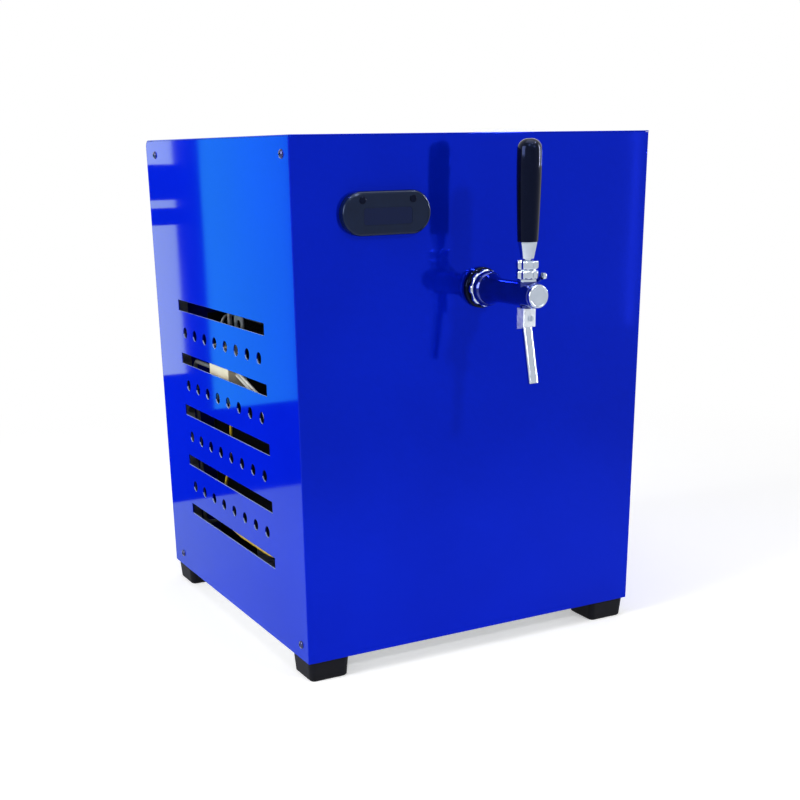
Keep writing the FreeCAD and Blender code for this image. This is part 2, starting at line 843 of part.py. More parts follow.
def panel_screws():
    body = new_body("panel_screws", CABINET)
    for side in (1, -1):
        level = HALF if side > 0 else "-" + HALF
        rounds = {}
        for radius in ("screwRadius", "screwHeadRadius"):
            rounds[radius] = sketch_on(body, "YZ", level)
            for y in ("screwFromFront", "cabinetDepth - screwFromRear"):
                for z in ("screwFromEnd", "cabinetHeight - screwFromEnd"):
                    draw_circle(rounds[radius], y, z, radius)
        pad(body, rounds["screwHeadRadius"], "screwHeadHeight", reverse=side < 0)
        pad(body, rounds["screwRadius"], "screwLength", reverse=side > 0)
    outside = "cabinetWidth / 2 + screwHeadHeight"
    dress_edges(body, "Fillet", lambda edge: lies_at(edge, "X", value(outside))
                or lies_at(edge, "X", -value(outside)), "screwHeadRounding")


# Feet

def foot_centres():
    reach = "(cabinetWidth / 2 - footInset - footWidth / 2)"
    depth = "footInset + footWidth / 2"
    return [(f"{side} * {reach}", y) for side in (-1, 1) for y in (depth, f"cabinetDepth - ({depth})")]


def feet():
    body = new_body("feet", CABINET)
    plan = sketch_on(body, "XY")
    for x, y in foot_centres():
        draw_box(plan, f"{x} - footWidth / 2", f"{y} - footWidth / 2",
                 f"{x} + footWidth / 2", f"{y} + footWidth / 2")
    pad(body, plan, "footHeight", reverse=True, taper="-footDraftAngle")
    dress_edges(body, "Fillet", lambda edge: not lies_at(edge, "Z", 0)
                and not lies_at(edge, "Z", -value("footHeight")), "footCorner")
    recess = sketch_on(body, "XY", "-footHeight")
    through = sketch_on(body, "XY", "-footHeight")
    for x, y in foot_centres():
        draw_circle(recess, x, y, "footRecessRadius")
        draw_circle(through, x, y, "footScrewRadius + screwPlay")
    cut(body, recess, "footRecessDepth", reverse=True)
    cut(body, through, reverse=True)
    dress_edges(body, "Chamfer", lambda edge: lies_at(edge, "Z", -value("footHeight"))
                and edge.BoundBox.DiagonalLength > value("footRecessRadius") * 3, "footEdge")


def foot_screws():
    body = new_body("foot_screws", CABINET)
    seat = "footRecessDepth - footHeight"
    heads = sketch_on(body, "XY", seat)
    shanks = sketch_on(body, "XY", seat)
    for x, y in foot_centres():
        draw_circle(heads, x, y, "footScrewHeadRadius")
        draw_circle(shanks, x, y, "footScrewRadius")
    pad(body, heads, "footScrewHeadHeight", reverse=True)
    pad(body, shanks, "footScrewLength")


# Tap: shank and its fastening in the front panel

def turned(label, at, outline, plane="XY", axis=None, angle=None):
    # a piece turned on the vertical axis of the plane: Y for XY, Z for XZ
    body = new_body(label, at, axis, angle)
    sketch = sketch_on(body, plane)
    draw_outline(sketch, outline)
    revolve(body, sketch)
    return body


def tube_outline(inner, outer, low, high):
    return [(inner, low), (outer, low), (outer, high), (inner, high)]


def tap_rosette():
    body = turned("tap_rosette", TAP, tube_outline("shankRadius + threadPlay", "rosetteRadius",
                                                   "-rosetteThickness", "0"))
    dress_edges(body, "Fillet", lambda edge: lies_at(edge, "Y", -value("rosetteThickness"))
                and edge.BoundBox.XMax > value("rosetteRadius") - NEAR, "rosetteRounding")


def tap_coupling_ring():
    back = "-rosetteThickness"
    body = turned("tap_coupling_ring", TAP, tube_outline("shankRadius + threadPlay", "couplingRadius",
                                                         back + " - couplingThickness", back))
    dress_edges(body, "Fillet", lambda edge: edge.BoundBox.XMax > value("couplingRadius") - NEAR
                and edge.BoundBox.YLength < NEAR, "couplingRounding")
    notch = sketch_on(body, "XZ", "rosetteThickness + couplingThickness")
    draw_circle(notch, "couplingRadius + couplingNotchRadius - couplingNotchDepth", "0", "couplingNotchRadius")
    repeat_round(body, cut(body, notch), "Y", "couplingNotchCount")


def tap_shank():
    turned("tap_shank", TAP, tube_outline("shankBore", "shankRadius",
                                          "-rosetteThickness - couplingThickness - shankSocketDepth",
                                          "shankInside"))


def shank_washer():
    turned("shank_washer", TAP, tube_outline("shankRadius + threadPlay", "washerRadius", "sheetGauge",
                                             "sheetGauge + washerThickness"))


def hex_nut(label, at, seat, radius, bore, thickness):
    # a nut whose near face stands seat behind the origin of at, along +Y
    body = new_body(label, at)
    plan = sketch_on(body, "XZ", f"-({seat})")
    draw_polygon(plan, radius, 6)
    draw_circle(plan, "0", "0", bore)
    pad(body, plan, thickness, reverse=True)
    return body


def shank_nut():
    hex_nut("shank_nut", TAP, "sheetGauge + washerThickness", "nutRadius", "shankRadius + threadPlay",
            "nutThickness")


def tap_body():
    rear = "-rosetteThickness - couplingThickness"
    body = turned("tap_body", TAP, [
        ("0", rear), ("0", "-barrelFront"), ("barrelRadius - barrelEdge", "-barrelFront"),
        ("barrelRadius", "-barrelFront + barrelEdge"), ("barrelRadius", "-flareEnd", "flareSweep", -1),
        ("flareShoulderRadius", "-flareShoulder", "flareRounding", 1), ("flareRadius", rear)])
    boss = sketch_on(body, "XY")
    draw_circle(boss, "0", "-bonnetSet", "bossRadius")
    pad(body, boss, "bossTop")
    outlet = sketch_on(body, "XY")
    draw_circle(outlet, "0", "-bonnetSet", "outletBossRadius")
    pad(body, outlet, "bossTop", reverse=True)
    bore = sketch_on(body, "XY")
    socket = rear + " - shankSocketDepth"
    draw_outline(bore, [("0", rear + " + cutOverrun"), ("0", "-barrelFront - cutOverrun"),
                        ("chamberRadius", "-barrelFront - cutOverrun"), ("chamberRadius", "-seatFront"),
                        ("seatRadius", "-seatFront"), ("seatRadius", "-seatRear"),
                        ("chamberRadius", "-seatRear"),
                        ("chamberRadius", "-throatEnd"), ("shankBore", "-throatEnd"), ("shankBore", socket),
                        ("shankRadius + threadPlay", socket),
                        ("shankRadius + threadPlay", rear + " + cutOverrun")])
    revolve(body, bore, "Groove")
    finger = sketch_on(body, "XY")
    draw_circle(finger, "0", "-bonnetSet", "fingerHoleRadius")
    cut(body, finger, reverse=True)
    port = sketch_on(body, "XY")
    draw_circle(port, "0", "-bonnetSet", "outletRadius")
    cut(body, port)
    spindle = sketch_on(body, "YZ")
    draw_circle(spindle, "-compensatorSet", "0", "spindleRadius + shuttlePlay")
    cut(body, spindle, reverse=True)


def tap_front_cap():
    body = turned("tap_front_cap", TAP, [
        ("0", "capSpigotLength - barrelFront"), ("0", "-barrelFront - capThickness"),
        ("capRadius", "-barrelFront - capThickness"), ("capRadius", "-barrelFront"),
        ("capSpigotRadius", "-barrelFront"), ("capSpigotRadius", "capSpigotLength - barrelFront")])
    dress_edges(body, "Chamfer", lambda edge: lies_at(edge, "Y", -value("barrelFront + capThickness")),
                "capBevel")


def bonnet_nut():
    waist, groove = "bonnetWaist", "bonnetWaist + bonnetWaistHeight"
    body = turned("bonnet_nut", BONNET, [
        ("fingerHoleRadius", "bossTop"), ("bonnetNeckRadius", "bossTop"), ("bonnetNeckRadius", "bonnetNeckTop"),
        ("bonnetRadius - bonnetBevel", "bonnetNeckTop"), ("bonnetRadius", "bonnetNeckTop + bonnetBevel"),
        ("bonnetRadius", waist + " - bonnetBevel"), ("bonnetRadius - bonnetWaistDepth", waist),
        ("bonnetRadius - bonnetWaistDepth", groove), ("bonnetRadius", groove + " + bonnetBevel"),
        ("bonnetRadius", "bonnetTop - bonnetBevel"), ("bonnetRadius - bonnetBevel", "bonnetTop"),
        ("mouthRadius", "bonnetTop"), ("bonnetLipRadius", "bonnetLipHeight"),
        ("ballRadius + ballPlay", "pivotHeight + ballPlay"),
        ("ballRadius + ballPlay", "pivotHeight - ballRadius"),
        ("fingerHoleRadius", "pivotHeight - ballRadius")], plane="XZ")
    flute = sketch_on(body, "XY", "bonnetNeckTop")
    draw_circle(flute, "bonnetRadius + fluteRadius - fluteDepth", "0", "fluteRadius")
    groove_cut = cut(body, flute, reverse=True)
    repeat_round(body, groove_cut, "Z", "fluteCount")


# Tap: lever, handle and valve

LEVER = ("0", FRONT + " - bonnetSet", "footHeight + tapHeight + pivotHeight")


def lever_stem():
    tip = "-leverArm"
    turned("lever_stem", LEVER, [
        ("0", tip + " - fingerTipRadius", "fingerTipRadius", 1),
        ("fingerRadius", tip + " + sqrt(fingerTipRadius ^ 2 - fingerRadius ^ 2)"),
        ("fingerRadius", "-sqrt(ballRadius ^ 2 - fingerRadius ^ 2)", "ballRadius", 1),
        ("stemRadius", "sqrt(ballRadius ^ 2 - stemRadius ^ 2)"), ("stemRadius", "ferruleBottom"),
        ("studRadius", "ferruleBottom"), ("studRadius", "studTop"), ("0", "studTop")], plane="XZ")


def handle_ferrule():
    turned("handle_ferrule", LEVER, [
        ("studRadius + threadPlay", "ferruleBottom"), ("ferruleBottomRadius", "ferruleBottom"),
        ("ferruleTopRadius", "ferruleTop - ferruleLip"), ("ferruleTopRadius", "ferruleTop"),
        ("studRadius + threadPlay", "ferruleTop")], plane="XZ")


def tap_handle():
    body = turned("tap_handle", LEVER, [
        ("studRadius + threadPlay", "ferruleTop"), ("handleBottomRadius", "ferruleTop"),
        ("handleLowRadius", "handleLow"), ("handleMiddleRadius", "handleMiddle"),
        ("handleRadius", "handleWidest"),
        ("handleShoulderRadius", "handleTop"), ("0", "handleTop"),
        ("0", "studTop + threadPlay"), ("studRadius + threadPlay", "studTop + threadPlay")], plane="XZ")
    dress_edges(body, "Fillet", lambda edge: lies_at(edge, "Z", value("handleTop")), "handleTopRounding")


def valve_shuttle():
    land = "chamberRadius - shuttlePlay"
    gap = "(fingerTipRadius + fingerPlay)"
    waist = "pivotHeight - leverArm - fingerTipRadius - 2 * fingerPlay"
    front = f"-bonnetSet - {gap}"
    rear = f"-bonnetSet + {gap}"
    face = "-seatRear + sealGap + sealThickness"
    body = turned("valve_shuttle", TAP, [
        ("0", f"{front} - shuttleLandLength"), (land, f"{front} - shuttleLandLength"), (land, front),
        (waist, front), (waist, rear), (land, rear), (land, f"{rear} + shuttleLandLength"),
        ("poppetStemRadius", f"{rear} + shuttleLandLength"), ("poppetStemRadius", face), ("poppetRadius", face),
        ("poppetRadius", face + " + poppetLength"), ("0", face + " + poppetLength")])
    passage = sketch_on(body, "XZ", f"-({rear}) - shuttleLandLength - cutOverrun")
    draw_circle(passage, "chamberRadius", "0", "fluteCutRadius")
    flute = cut(body, passage, "shuttleLandLength + cutOverrun + fingerPlay", reverse=True)
    repeat_round(body, flute, "Y", "fluteCutCount")


def shuttle_seal():
    turned("shuttle_seal", TAP, tube_outline("poppetStemRadius", "poppetRadius", "-seatRear + sealGap",
                                             "-seatRear + sealGap + sealThickness"))


def compensator_lever():
    at = ("0", FRONT + " - compensatorSet", "footHeight + tapHeight")
    body = new_body("compensator_lever", at, (1, 0, 0), "compensatorAngle")
    inner = "barrelRadius + compensatorGap"
    spindle = sketch_on(body, "YZ", "spindleTip")
    draw_circle(spindle, "0", "0", "spindleRadius")
    pad(body, spindle, inner + " - spindleTip")
    hub = sketch_on(body, "YZ", inner)
    draw_circle(hub, "0", "0", "compensatorHub")
    pad(body, hub, "compensatorThickness")
    arm = sketch_on(body, "YZ", inner)
    draw_outline(arm, [("0", "-compensatorRootWidth / 2"), ("compensatorLength", "-compensatorTipWidth / 2"),
                       ("compensatorLength", "compensatorTipWidth / 2"), ("0", "compensatorRootWidth / 2")])
    pad(body, arm, "compensatorThickness")
    knob = sketch_on(body, "YZ", inner)
    draw_circle(knob, "compensatorLength", "0", "compensatorKnobRadius")
    pad(body, knob, "compensatorThickness + compensatorKnobExtra")
    outside = value(inner + " + compensatorThickness + compensatorKnobExtra")
    dress_edges(body, "Fillet", lambda edge: lies_at(edge, "X", outside), "compensatorRounding")


# Tap: nozzle

def nozzle_elbow():
    body = new_body("nozzle_elbow", BONNET)
    half = "elbowWidth / 2"
    side = sketch_on(body, "YZ")
    draw_outline(side, [("-" + half, f"-elbowBottom + ({half} - nozzleSet) * tan(nozzleTilt)"),
                        (half, f"-elbowBottom - ({half} + nozzleSet) * tan(nozzleTilt)"),
                        (half, "-bossTop"), ("-" + half, "-bossTop")])
    pad(body, side, "elbowWidth", middle=True)
    dress_edges(body, "Fillet", lambda edge: runs_along(edge, (0, 0, 1)), "elbowRounding")
    drop = sketch_on(body, "XY", "-bossTop")
    draw_circle(drop, "0", "0", "outletRadius")
    cut(body, drop, "nozzleTurn")
    run = sketch_on(body, "XY")
    draw_circle(run, "0", "0", "nozzleSpigotRadius + threadPlay")
    run.AttachmentOffset = FreeCAD.Placement(FreeCAD.Vector(), FreeCAD.Rotation(FreeCAD.Vector(1, 0, 0),
                                                                                -value("nozzleTilt")))
    run.setExpression("AttachmentOffset.Rotation.Angle", tied("-nozzleTilt"))
    rise = "(nozzleSpigotLength + threadPlay)"
    run.setExpression("AttachmentOffset.Base.y", tied(f"-nozzleSet + {rise} * sin(nozzleTilt)"))
    run.setExpression("AttachmentOffset.Base.z", tied(f"-elbowBottom + {rise} * cos(nozzleTilt)"))
    cut(body, run)
    screw = sketch_on(body, "XZ", half)
    draw_circle(screw, "0", "-nozzleScrewHeight", "nozzleScrewRadius + threadPlay")
    cut(body, screw, "nozzleScrewLength + threadPlay")


def nozzle_tube():
    at = ("0", FRONT + " - bonnetSet - nozzleSet", "footHeight + tapHeight - elbowBottom")
    turned("nozzle_tube", at, [
        ("nozzleBore", "-nozzleLength"), ("nozzleRadius", "-nozzleLength"), ("nozzleRadius", "0"),
        ("nozzleSpigotRadius", "0"), ("nozzleSpigotRadius", "nozzleSpigotLength"),
        ("nozzleBore", "nozzleSpigotLength")], plane="XZ", axis=(1, 0, 0), angle="-nozzleTilt")


def nozzle_screw():
    at = ("0", FRONT + " - bonnetSet - elbowWidth / 2", "footHeight + tapHeight - nozzleScrewHeight")
    body = turned("nozzle_screw", at, [
        ("0", "-nozzleScrewHeadHeight"), ("nozzleScrewHeadRadius", "-nozzleScrewHeadHeight"),
        ("nozzleScrewHeadRadius", "0"), ("nozzleScrewRadius", "0"), ("nozzleScrewRadius", "nozzleScrewLength"),
        ("0", "nozzleScrewLength")])
    slot = sketch_on(body, "XZ", "nozzleScrewHeadHeight")
    draw_box(slot, "-nozzleScrewSlot / 2", "-nozzleScrewHeadRadius - cutOverrun",
             "nozzleScrewSlot / 2", "nozzleScrewHeadRadius + cutOverrun")
    cut(body, slot, "nozzleScrewHeadHeight / 2")


# Thermostat in the front panel

def thermostat_bezel():
    body = new_body("thermostat_bezel", THERMOSTAT)
    face = sketch_on(body, "XZ")
    draw_stadium(face, "bezelLength", "bezelHeight")
    pad(body, face, "bezelDepth")
    dress_edges(body, "Fillet", lambda edge: lies_at(edge, "Y", -value("bezelDepth")), "bezelRounding")
    window = sketch_on(body, "XZ", "bezelDepth")
    half = "(lensLength / 2 + lensPlay)"
    draw_box(window, "-" + half, "-lensDrop - lensHeight / 2 - lensPlay",
             half, "-lensDrop + lensHeight / 2 + lensPlay")
    cut(body, window, "lensThickness + lensRecess")
    dress_edges(body, "Fillet", lambda edge: runs_along(edge, (0, 1, 0))
                and abs(abs(edge.CenterOfMass.x) - value(half)) < NEAR, "lensCorner + lensPlay")
    keys = sketch_on(body, "XZ", "bezelDepth")
    for side in (-1, 1):
        draw_circle(keys, f"{side} * keyOffset", "keyHeight", "keyRadius + keyPlay")
    cut(body, keys, "keyLength - keyProud + keyTravel + keyPlay")


def display_lens():
    body = new_body("display_lens", THERMOSTAT)
    face = sketch_on(body, "XZ", "bezelDepth - lensRecess")
    draw_box(face, "-lensLength / 2", "-lensDrop - lensHeight / 2",
             "lensLength / 2", "-lensDrop + lensHeight / 2")
    pad(body, face, "lensThickness", reverse=True)
    dress_edges(body, "Fillet", lambda edge: runs_along(edge, (0, 1, 0)), "lensCorner")


def thermostat_case():
    body = new_body("thermostat_case", THERMOSTAT)
    back = sketch_on(body, "XZ")
    draw_box(back, "-caseLength / 2", "-caseHeight / 2", "caseLength / 2", "caseHeight / 2")
    pad(body, back, "caseDepth", reverse=True)
    dress_edges(body, "Fillet", lambda edge: runs_along(edge, (0, 1, 0)), "caseCorner")


def thermostat_key(label, side):
    at = (f"{THERMOSTAT[0]} + {side} * keyOffset", FRONT + " - bezelDepth - keyProud",
          THERMOSTAT[2] + " + keyHeight")
    body = turned(label, at, [("0", "0"), ("keyRadius", "0"), ("keyRadius", "keyLength"), ("0", "keyLength")])
    dress_edges(body, "Fillet", lambda edge: lies_at(edge, "Y", 0) and edge.BoundBox.XLength > NEAR,
                "keyRounding")


# Fittings in the rear panel

INLET = ("inletFromCentre", FRONT + " + cabinetDepth", "footHeight + inletHeight")


def beer_inlet_fitting():
    turned("beer_inlet_fitting", INLET, [
        ("inletBore", "-inletInside"), ("inletStubRadius", "-inletInside"), ("inletStubRadius", "0"),
        ("inletFlangeRadius", "0"), ("inletFlangeRadius", "inletFlangeThickness"),
        ("inletStubRadius", "inletFlangeThickness"), ("inletStubRadius", "inletReach"),
        ("inletBore", "inletReach")])


def beer_inlet_nut():
    hex_nut("beer_inlet_nut", INLET, "-sheetGauge - inletNutThickness", "inletNutRadius",
            "inletStubRadius + threadPlay", "inletNutThickness")


def power_inlet():
    at = ("-socketFromCentre", FRONT + " + cabinetDepth", "footHeight + socketHeight")
    body = new_body("power_inlet", at)
    flange = sketch_on(body, "XZ")
    draw_box(flange, "-socketFlangeLength / 2", "-socketFlangeHeight / 2",
             "socketFlangeLength / 2", "socketFlangeHeight / 2")
    pad(body, flange, "socketFlangeThickness", reverse=True)
    dress_edges(body, "Fillet", lambda edge: runs_along(edge, (0, 1, 0)), "socketCorner")
    box = sketch_on(body, "XZ")
    draw_box(box, "-socketBodyLength / 2", "-socketBodyHeight / 2",
             "socketBodyLength / 2", "socketBodyHeight / 2")
    pad(body, box, "socketBodyDepth")
    recess = sketch_on(body, "XZ", "-socketFlangeThickness")
    half, level = "socketRecessLength / 2", "socketRecessHeight / 2"
    draw_outline(recess, [("-" + half, "-" + level), (half, "-" + level), (half, level + " - socketCorner"),
                          (half + " - socketCorner", level), ("-" + half + " + socketCorner", level),
                          ("-" + half, level + " - socketCorner")])
    cut(body, recess, "socketRecessDepth", reverse=True)
    pins = sketch_on(body, "XZ", "socketRecessDepth - socketFlangeThickness")
    for across, up in ((-1, 0), (0, 1), (1, 0)):
        x, z = f"{across} * pinPitch", f"{up} * pinRise - pinRise / 2"
        draw_box(pins, f"{x} - pinThickness / 2", f"{z} - pinHeight / 2",
                 f"{x} + pinThickness / 2", f"{z} + pinHeight / 2")
    pad(body, pins, "pinLength", reverse=True)


# Upper compartment: shelf, insulated cooling block and beer lines

def corner_posts():
    body = new_body("corner_posts", CABINET)
    plan = sketch_on(body, "XY", "sheetGauge")
    reach = f"({RIM} - sheetGauge - panelGap)"
    for side in (-1, 1):
        for y, way in (("postInset", 1), ("cabinetDepth - postInset", -1)):
            outer, inner = f"{side} * {reach}", f"{side} * ({reach} - postWidth)"
            web = f"{side} * ({reach} - postGauge)"
            draw_outline(plan, [(outer, y), (inner, y), (inner, f"{y} + {way} * postGauge"),
                                (web, f"{y} + {way} * postGauge"), (web, f"{y} + {way} * postWidth"),
                                (outer, f"{y} + {way} * postWidth")])
    pad(body, plan, "shelfHeight - sheetGauge")


def block_shelf():
    body = new_body("block_shelf", CABINET)
    reach = f"({RIM} - shelfGap / 2)"
    plan = sketch_on(body, "XY", "shelfHeight")
    draw_box(plan, f"-{reach}", f"{RIM_FRONT} + shelfGap", reach, f"{RIM_REAR} - shelfGap")
    pad(body, plan, "shelfRim")
    inside = sketch_on(body, "XY", "shelfHeight + sheetGauge")
    draw_box(inside, f"sheetGauge - {reach}", f"{RIM_FRONT} + shelfGap + sheetGauge",
             f"{reach} - sheetGauge", f"{RIM_REAR} - shelfGap - sheetGauge")
    cut(body, inside, "shelfRim", reverse=True)
    notch = sketch_on(body, "XY", "shelfHeight")
    draw_box(notch, RISER_X + " - riserNotch / 2", "capillaryY - riserNotch / 2",
             RISER_X + " + riserNotch / 2", "suctionY + riserNotch / 2")
    draw_circle(notch, "leadHoleX - cabinetWidth / 2", "leadHoleY", "leadHoleRadius")
    cut(body, notch, reverse=True)


BLOCK_HALF = "(cabinetWidth / 2 - blockFromSide)"
BLOCK_BOTTOM = "shelfHeight + sheetGauge + foamFloor + foamPlay"
BLOCK_REAR = "cabinetDepth - blockFromRear"
SUCTION_BLOCK_Z = BLOCK_BOTTOM + " + suctionRise"
CAPILLARY_BLOCK_Z = BLOCK_BOTTOM + " + capillaryRise"


def cold_block():
    body = new_body("cold_block", CABINET)
    plan = sketch_on(body, "XY", BLOCK_BOTTOM)
    draw_box(plan, "-" + BLOCK_HALF, "blockFromFront", BLOCK_HALF, BLOCK_REAR)
    pad(body, plan, "blockHeight")
    dress_edges(body, "Fillet", lambda edge: runs_along(edge, (0, 0, 1)), "blockCorner")


FOAM_HALF = f"({BLOCK_HALF} + foamPlay + foamWall)"
FOAM_RIM = f"{BLOCK_BOTTOM} + blockHeight + foamPlay"


def draw_foam_plan(sketch):
    draw_box(sketch, "-" + FOAM_HALF, "blockFromFront - foamPlay - foamWall",
             FOAM_HALF, BLOCK_REAR + " + foamPlay + foamWall")


def foam_tray():
    body = new_body("foam_tray", CABINET)
    plan = sketch_on(body, "XY", "shelfHeight + sheetGauge")
    draw_foam_plan(plan)
    pad(body, plan, "foamFloor + blockHeight + 2 * foamPlay")
    dress_edges(body, "Fillet", lambda edge: runs_along(edge, (0, 0, 1)), "foamCorner")
    hollow = sketch_on(body, "XY", BLOCK_BOTTOM + " - foamPlay")
    draw_box(hollow, f"-{BLOCK_HALF} - foamPlay", "blockFromFront - foamPlay",
             BLOCK_HALF + " + foamPlay", BLOCK_REAR + " + foamPlay")
    cut(body, hollow, reverse=True)
    front = sketch_on(body, "XZ", "-blockFromFront")
    draw_circle(front, "0", "tapHeight", "lineRadius + foamHolePlay")
    cut(body, front, reverse=True)
    rear = sketch_on(body, "XZ", f"-({BLOCK_REAR})")
    draw_circle(rear, "inletFromCentre", "inletHeight", "lineRadius + foamHolePlay")
    cut(body, rear)
    right = sketch_on(body, "YZ", BLOCK_HALF)
    draw_circle(right, "suctionY", SUCTION_BLOCK_Z, "pipeRadius + foamHolePlay")
    draw_circle(right, "capillaryY", CAPILLARY_BLOCK_Z, "capillaryRadius + foamHolePlay")
    cut(body, right, reverse=True)


def foam_lid():
    body = new_body("foam_lid", CABINET)
    plan = sketch_on(body, "XY", FOAM_RIM)
    draw_foam_plan(plan)
    pad(body, plan, "foamLid")
    dress_edges(body, "Fillet", lambda edge: runs_along(edge, (0, 0, 1)), "foamCorner")


def beer_lines():
    body = new_body("beer_lines", CABINET)
    for x, z, begin, finish in (("0", "tapHeight", "shankInside - lineEntry", "blockFromFront"),
                                ("inletFromCentre", "inletHeight", BLOCK_REAR,
                                 "cabinetDepth - inletInside + lineEntry")):
        ring = sketch_on(body, "XZ", f"-({begin})")
        draw_circle(ring, x, z, "lineRadius")
        pad(body, ring, f"{finish} - ({begin})", reverse=True)


# Machine compartment: compressor

COMPRESSOR = ("compressorX", f"{FRONT} + {COMPRESSOR_Y}",
              "footHeight + sheetGauge + grommetHeight + mountThickness")


def compressor_shell():
    lip = "shellRadius + shellSeamWidth"
    body = turned("compressor_shell", COMPRESSOR, [
        ("0", "0"), ("shellBaseRadius", "0", "shellBottomSweep", 1), ("shellRadius", "shellBellyHeight"),
        ("shellRadius", "shellSeam"), (lip, "shellSeam"), (lip, "shellSeam + shellSeamThickness"),
        ("shellRadius", "shellSeam + shellSeamThickness"), ("shellRadius", "shellShoulder", "shellTopSweep", 1),
        ("shellRadius - shellTopSweep", "shellTop"), ("0", "shellTop")], plane="XZ")
    discharge = sketch_on(body, "XZ", "shellRadius - stubRadius")
    draw_circle(discharge, "0", "dischargeHeight", "stubRadius")
    pad(body, discharge, "stubRadius + stubReach")
    suction = sketch_on(body, "YZ", "shellRadius - stubRadius")
    draw_circle(suction, "0", "suctionHeight", "stubRadius")
    pad(body, suction, "stubRadius + stubReach")


def mount_corners():
    x, y = "(mountLength / 2 - mountHoleInset)", "(mountWidth / 2 - mountHoleInset)"
    return [(f"{across} * {x}", f"{along} * {y}") for across in (-1, 1) for along in (-1, 1)]


def compressor_mount():
    body = new_body("compressor_mount", COMPRESSOR)
    plan = sketch_on(body, "XY")
    draw_box(plan, "-mountLength / 2", "-mountWidth / 2", "mountLength / 2", "mountWidth / 2")
    pad(body, plan, "mountThickness", reverse=True)
    dress_edges(body, "Fillet", lambda edge: runs_along(edge, (0, 0, 1)), "mountCorner")
    holes = sketch_on(body, "XY")
    for x, y in mount_corners():
        draw_circle(holes, x, y, "boltRadius + boltPlay")
    cut(body, holes)


def compressor_grommets():
    body = new_body("compressor_grommets", COMPRESSOR)
    flanges = "(grommetHeight - grommetGroove) / 2"
    for radius, top, height in (("grommetRadius", "0", flanges),
                                ("grommetWaist", f"-{flanges}", "grommetGroove"),
                                ("grommetRadius", f"-{flanges} - grommetGroove", flanges)):
        ring = sketch_on(body, "XY", f"{top} - mountThickness")
        for x, y in mount_corners():
            draw_circle(ring, x, y, radius)
            draw_circle(ring, x, y, "boltRadius + boltPlay")
        pad(body, ring, height, reverse=True)


def compressor_bolts():
    body = new_body("compressor_bolts", COMPRESSOR)
    heads = sketch_on(body, "XY")
    shanks = sketch_on(body, "XY")
    for x, y in mount_corners():
        draw_circle(heads, x, y, "boltHeadRadius")
        draw_circle(shanks, x, y, "boltRadius")
    pad(body, heads, "boltHeadHeight")
    pad(body, shanks, "mountThickness + grommetHeight", reverse=True)


def relay_cover():
    body = new_body("relay_cover", COMPRESSOR)
    plan = sketch_on(body, "XY", "relayBottom")
    draw_box(plan, "-relayLength / 2", "-shellRadius - panelGap - relayDepth",
             "relayLength / 2", "-shellRadius - panelGap")
    pad(body, plan, "relayHeight")
    dress_edges(body, "Fillet", lambda edge: runs_along(edge, (0, 0, 1))
                and edge.CenterOfMass.y < -value("shellRadius + relayDepth / 2"), "relayCorner")


# Machine compartment: condenser behind the left vents, and its fan

CONDENSER = ("condenserFromSide - cabinetWidth / 2", f"{FRONT} + {CONDENSER_FRONT}", "footHeight")


def tube_heights():
    return [f"lowestTube + {number} * tubePitch" for number in range(int(value("tubeRuns")))]


def condenser_fins():
    body = new_body("condenser_fins", CONDENSER)
    fin = sketch_on(body, "XZ", "-condenserLength / finCount / 2")
    draw_box(fin, "sheetGauge", "finBottom", "condenserThickness - sheetGauge", "finTop")
    for height in tube_heights():
        draw_circle(fin, "condenserThickness / 2", height, "tubeRadius + tubePlay")
    first = pad(body, fin, "finGauge", reverse=True)
    pattern = repeat_along(body, first, fin, "N_Axis", "condenserLength / finCount", "finCount")
    pattern.Reversed = True


def condenser_end_plates():
    body = new_body("condenser_end_plates", CONDENSER)
    for low, way in (("0", 1), ("condenserLength - sheetGauge", -1)):
        plate = sketch_on(body, "XZ", f"-({low})" if low != "0" else "0")
        draw_box(plate, "0", "sheetGauge", "condenserThickness", "endPlateTop")
        for height in tube_heights():
            draw_circle(plate, "condenserThickness / 2", height, "tubeRadius + tubePlay")
        pad(body, plate, "sheetGauge", reverse=True)
        foot = sketch_on(body, "XY", "sheetGauge")
        near = f"{low} + (1 - {way}) / 2 * sheetGauge"
        ends = sorted([near, f"{near} - {way} * endPlateFoot"], key=value)
        draw_box(foot, "0", ends[0] if value(ends[0]) else "0", "condenserThickness",
                 ends[1] if value(ends[1]) else "0")
        pad(body, foot, "sheetGauge")


def condenser_tubes():
    x = "condenserThickness / 2"
    bend = "tubePitch / 2"
    points = [(x, "-tubeStub", tube_heights()[0])]
    for number, height in enumerate(tube_heights()):
        ends = ["0", "condenserLength"] if number % 2 == 0 else ["condenserLength", "0"]
        if number:
            points.append((x, f"{ends[0]} + {1 if number % 2 else -1} * tubePitch / 2", height))
        if number < len(tube_heights()) - 1:
            points.append((x, f"{ends[1]} + {-1 if number % 2 else 1} * tubePitch / 2", height))
    points.append((x, "-tubeStub", tube_heights()[-1]))
    new_shape("condenser_tubes", pipe_shape(points, "tubeRadius", bend), CONDENSER)


FAN = ("condenserFromSide + condenserThickness - cabinetWidth / 2",
       f"{FRONT} + {CONDENSER_FRONT} + condenserLength / 2", "footHeight + fanHeight")


